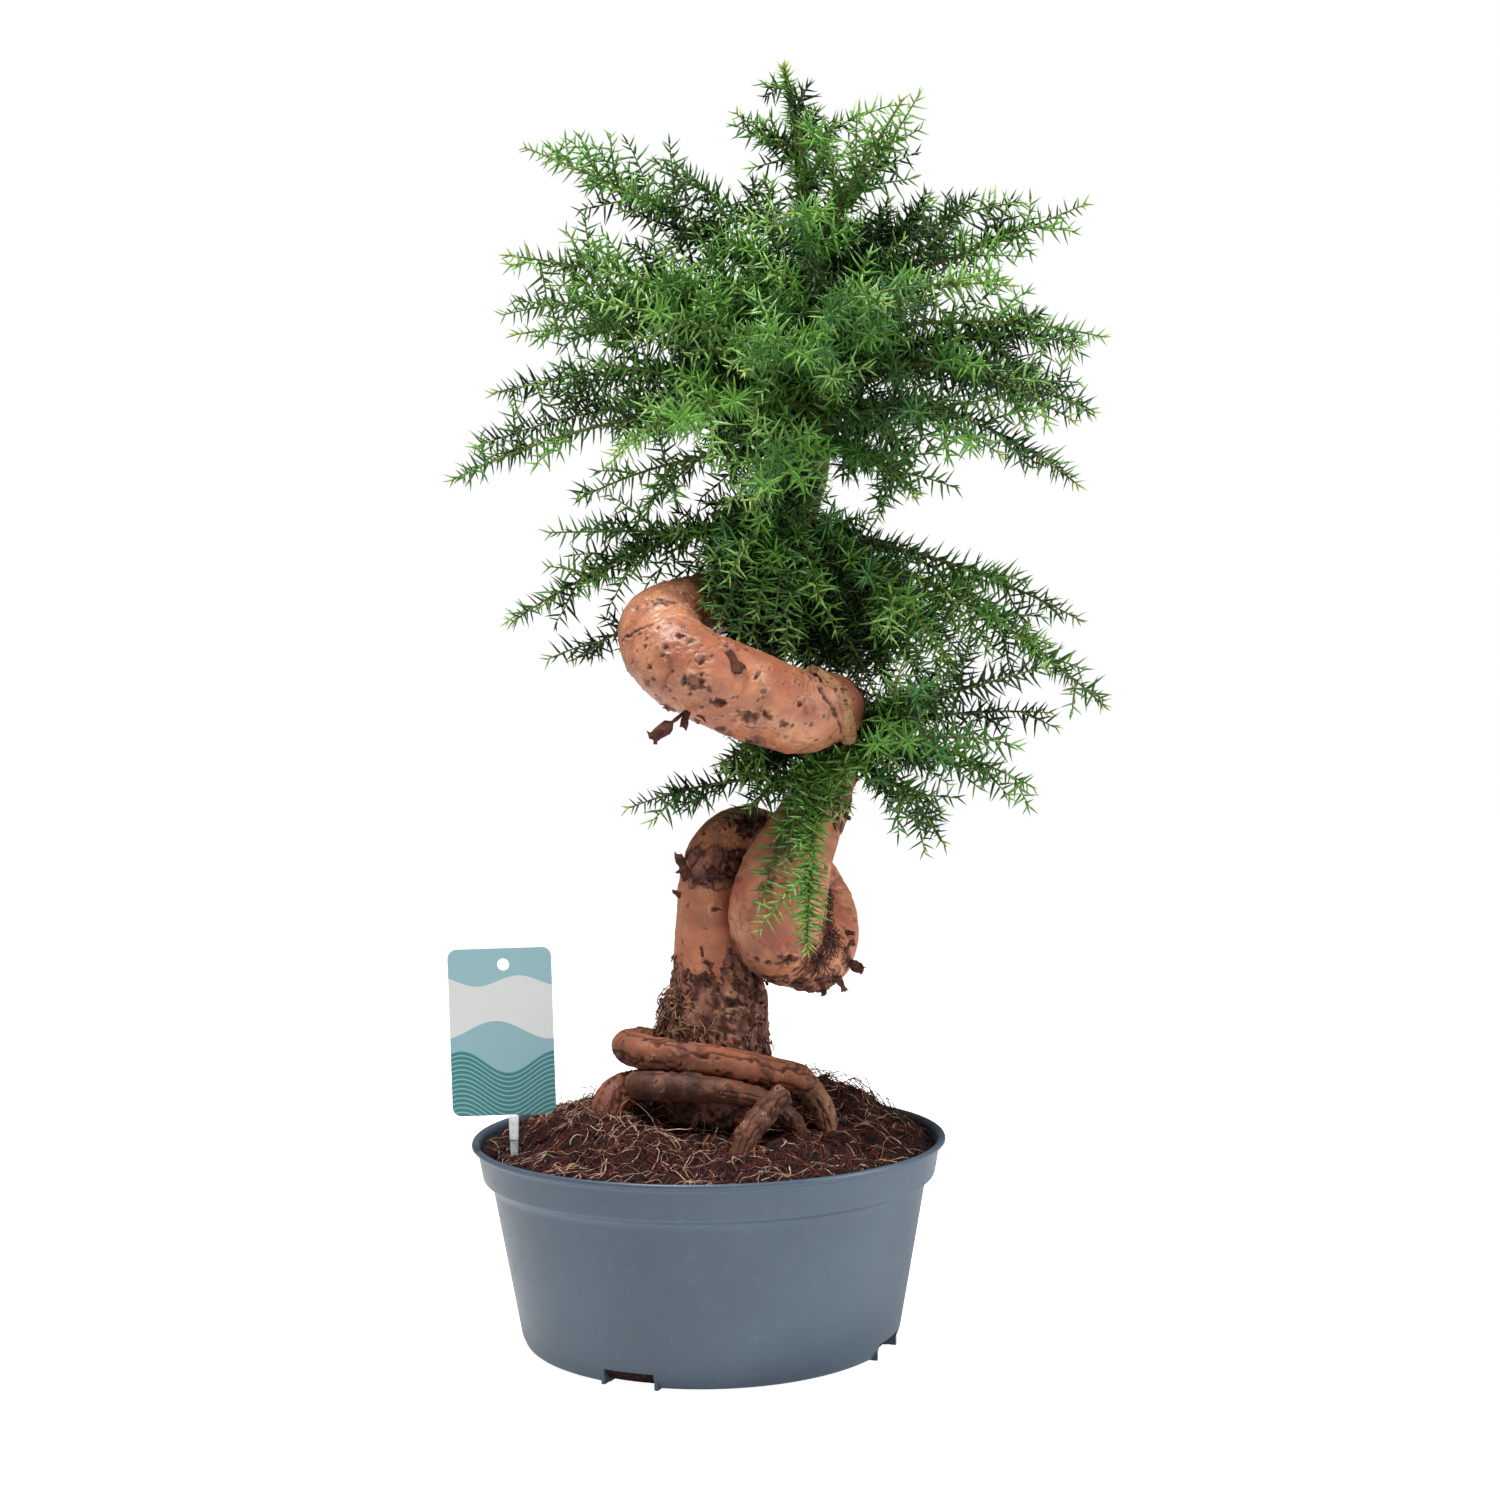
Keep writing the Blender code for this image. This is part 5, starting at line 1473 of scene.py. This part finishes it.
def named_sprays(pieces, axes, spin):
    """Stems, twigs and needles of the named boughs."""
    stems, twigs, grown = [], [], []
    for seed, name in enumerate(axes):
        rng = random.Random(900 + seed)
        axis = axes[name]
        lines = side_twigs(name, axes, pieces, seed) + fine_twigs(name, axes, pieces, seed)
        lines += standing_twigs(name, axis)
        while in_bay(axis[-1:]):
            axis = axis[:-1]
        run = run_of(axis)
        lines = [line for line in lines
                 if np.linalg.norm(line[0] - axis[0]) < run[-1] and not in_bay(line[-1:])]
        pitch, ease = BOUGH_PITCH, BOUGH_EASE
        if name == HANGING_BOUGH:
            lines = [line for line in lines if line[-1, 0] < line[0, 0]]
            pitch, ease = HANGING_PITCH, HANGING_EASE
        thick = 1.0 + run[-1] / 260 + THICKER.get(name, 0.0)
        stems.append(np.c_[axis, thick * (1 - 0.72 * run / run[-1])])
        grown.append(grow_needles(axis, spin, pitch, ease, spray_kind(rng, 0.6, axis[-1]), YOUNG))
        for line in lines:
            share = float(np.linalg.norm(line[0] - axis[0])) / run[-1]
            twigs.append(np.c_[line, np.linspace(0.75, 0.35, len(line))])
            grown.append(twig_needles(line, rng, spin, share, NEEDLE_PITCH))
    return stems, twigs, grown


def inner_sprays(pieces, spin):
    """Stems, twigs and needles of the small boughs inside the crown."""
    stems, twigs, grown = [], [], []
    for seed, axis in enumerate(inner_axes(pieces)):
        rng = random.Random(1500 + seed)
        run = run_of(axis)
        stems.append(np.c_[axis, 1.1 * (1 - 0.6 * run / run[-1])])
        kind = spray_kind(rng, 0.5, axis[-1])
        pitch = DARK_PITCH if kind == SHADE else NEEDLE_PITCH
        tuft = kind if towards_camera(axis) else LIGHT
        grown.append(grow_needles(axis, spin, pitch, TWIG_EASE, kind, tuft))
        for line in fine_twigs("inner", {"inner": axis}, pieces, 700 + seed):
            twigs.append(np.c_[line, np.linspace(0.7, 0.35, len(line))])
            grown.append(twig_needles(line, rng, spin, 0.5, DARK_PITCH))
    return stems, twigs, grown


def make_foliage():
    """Stems, twigs and needles of every mass, joined by kind."""
    pieces = limb_pieces()
    axes = bough_axes(pieces)
    masses = list(axes)
    spin = np.random.default_rng(5)
    named = named_sprays(pieces, axes, spin)
    stems, twigs, grown = [first + second for first, second in zip(named, inner_sprays(pieces, spin))]
    grown.append(grow_needles(pieces["leader"][:, :3], spin, LEADER_PITCH, LEADER_EASE, MID, YOUNG))
    olive = green_twig("olive_bough_bark", "#57502A", "#7C8A3E")
    green = green_twig("green_twig_bark", "#4F6B2C", "#86A04A")
    finish_piece(sweep("bough_stems", stems, 7), olive, masses)
    finish_piece(sweep("fine_twig_stems", twigs, 4), green, masses)
    *needles, kinds = [np.concatenate(part) for part in zip(*grown)]
    for kind, (name, colour) in enumerate(NEEDLE_COLOURS.items()):
        skin = needle_skin(name, colour)
        mine = np.flatnonzero(kinds == kind)
        for part in np.array_split(mine, math.ceil(len(mine) / PIECE_NEEDLES)):
            sprays = needle_mesh("needles_" + name, *[values[part] for values in needles])
            finish_piece(sprays, skin, masses)


def make_studio():
    """White floor and surroundings, the soft lamps and the camera."""
    bm = bmesh.new()
    bmesh.ops.create_grid(bm, x_segments=1, y_segments=1, size=6.0)
    floor = object_from(bm, "studio_floor")
    floor.data.materials.append(studio_floor())
    world = bpy.data.worlds.new("white_room")
    world.use_nodes = True
    surround = world.node_tree.nodes["Background"]
    surround.inputs[0].default_value = (1.0, 1.0, 1.0, 1.0)
    seen = node(world.node_tree, "ShaderNodeLightPath").outputs["Is Camera Ray"]
    strength = node(world.node_tree, "ShaderNodeMapRange", {0: seen, 3: ROOM_LIGHT, 4: 1.0}).outputs[0]
    world.node_tree.links.new(strength, surround.inputs[1])
    scene.world = world
    for name, place, aim, size, power in LAMPS:
        lamp = bpy.data.lights.new(name, "AREA")
        lamp.size = size
        lamp.energy = power
        bearer = bpy.data.objects.new(name, lamp)
        bearer.location = place
        sight = Vector(aim) - Vector(place)
        bearer.rotation_euler = sight.to_track_quat("-Z", "Y").to_euler()
        scene.collection.objects.link(bearer)
    lens = bpy.data.cameras.new("camera")
    lens.sensor_width = 36.0
    lens.lens = 36.0 * FOCAL_PIXELS / PHOTO
    camera = bpy.data.objects.new("camera", lens)
    scene.collection.objects.link(camera)
    camera.matrix_world = (Matrix.Translation(CAMERA_AT)
                           @ Matrix.Rotation(math.pi / 2 + CAMERA_PITCH, 4, "X")
                           @ Matrix.Rotation(CAMERA_ROLL, 4, "Z"))
    scene.camera = camera
    scene.view_settings.view_transform = "Standard"


make_studio()
make_pot()
make_soil()
make_fibres()
make_crumbs()
make_label()
make_trunk()
make_roots()
make_foliage()
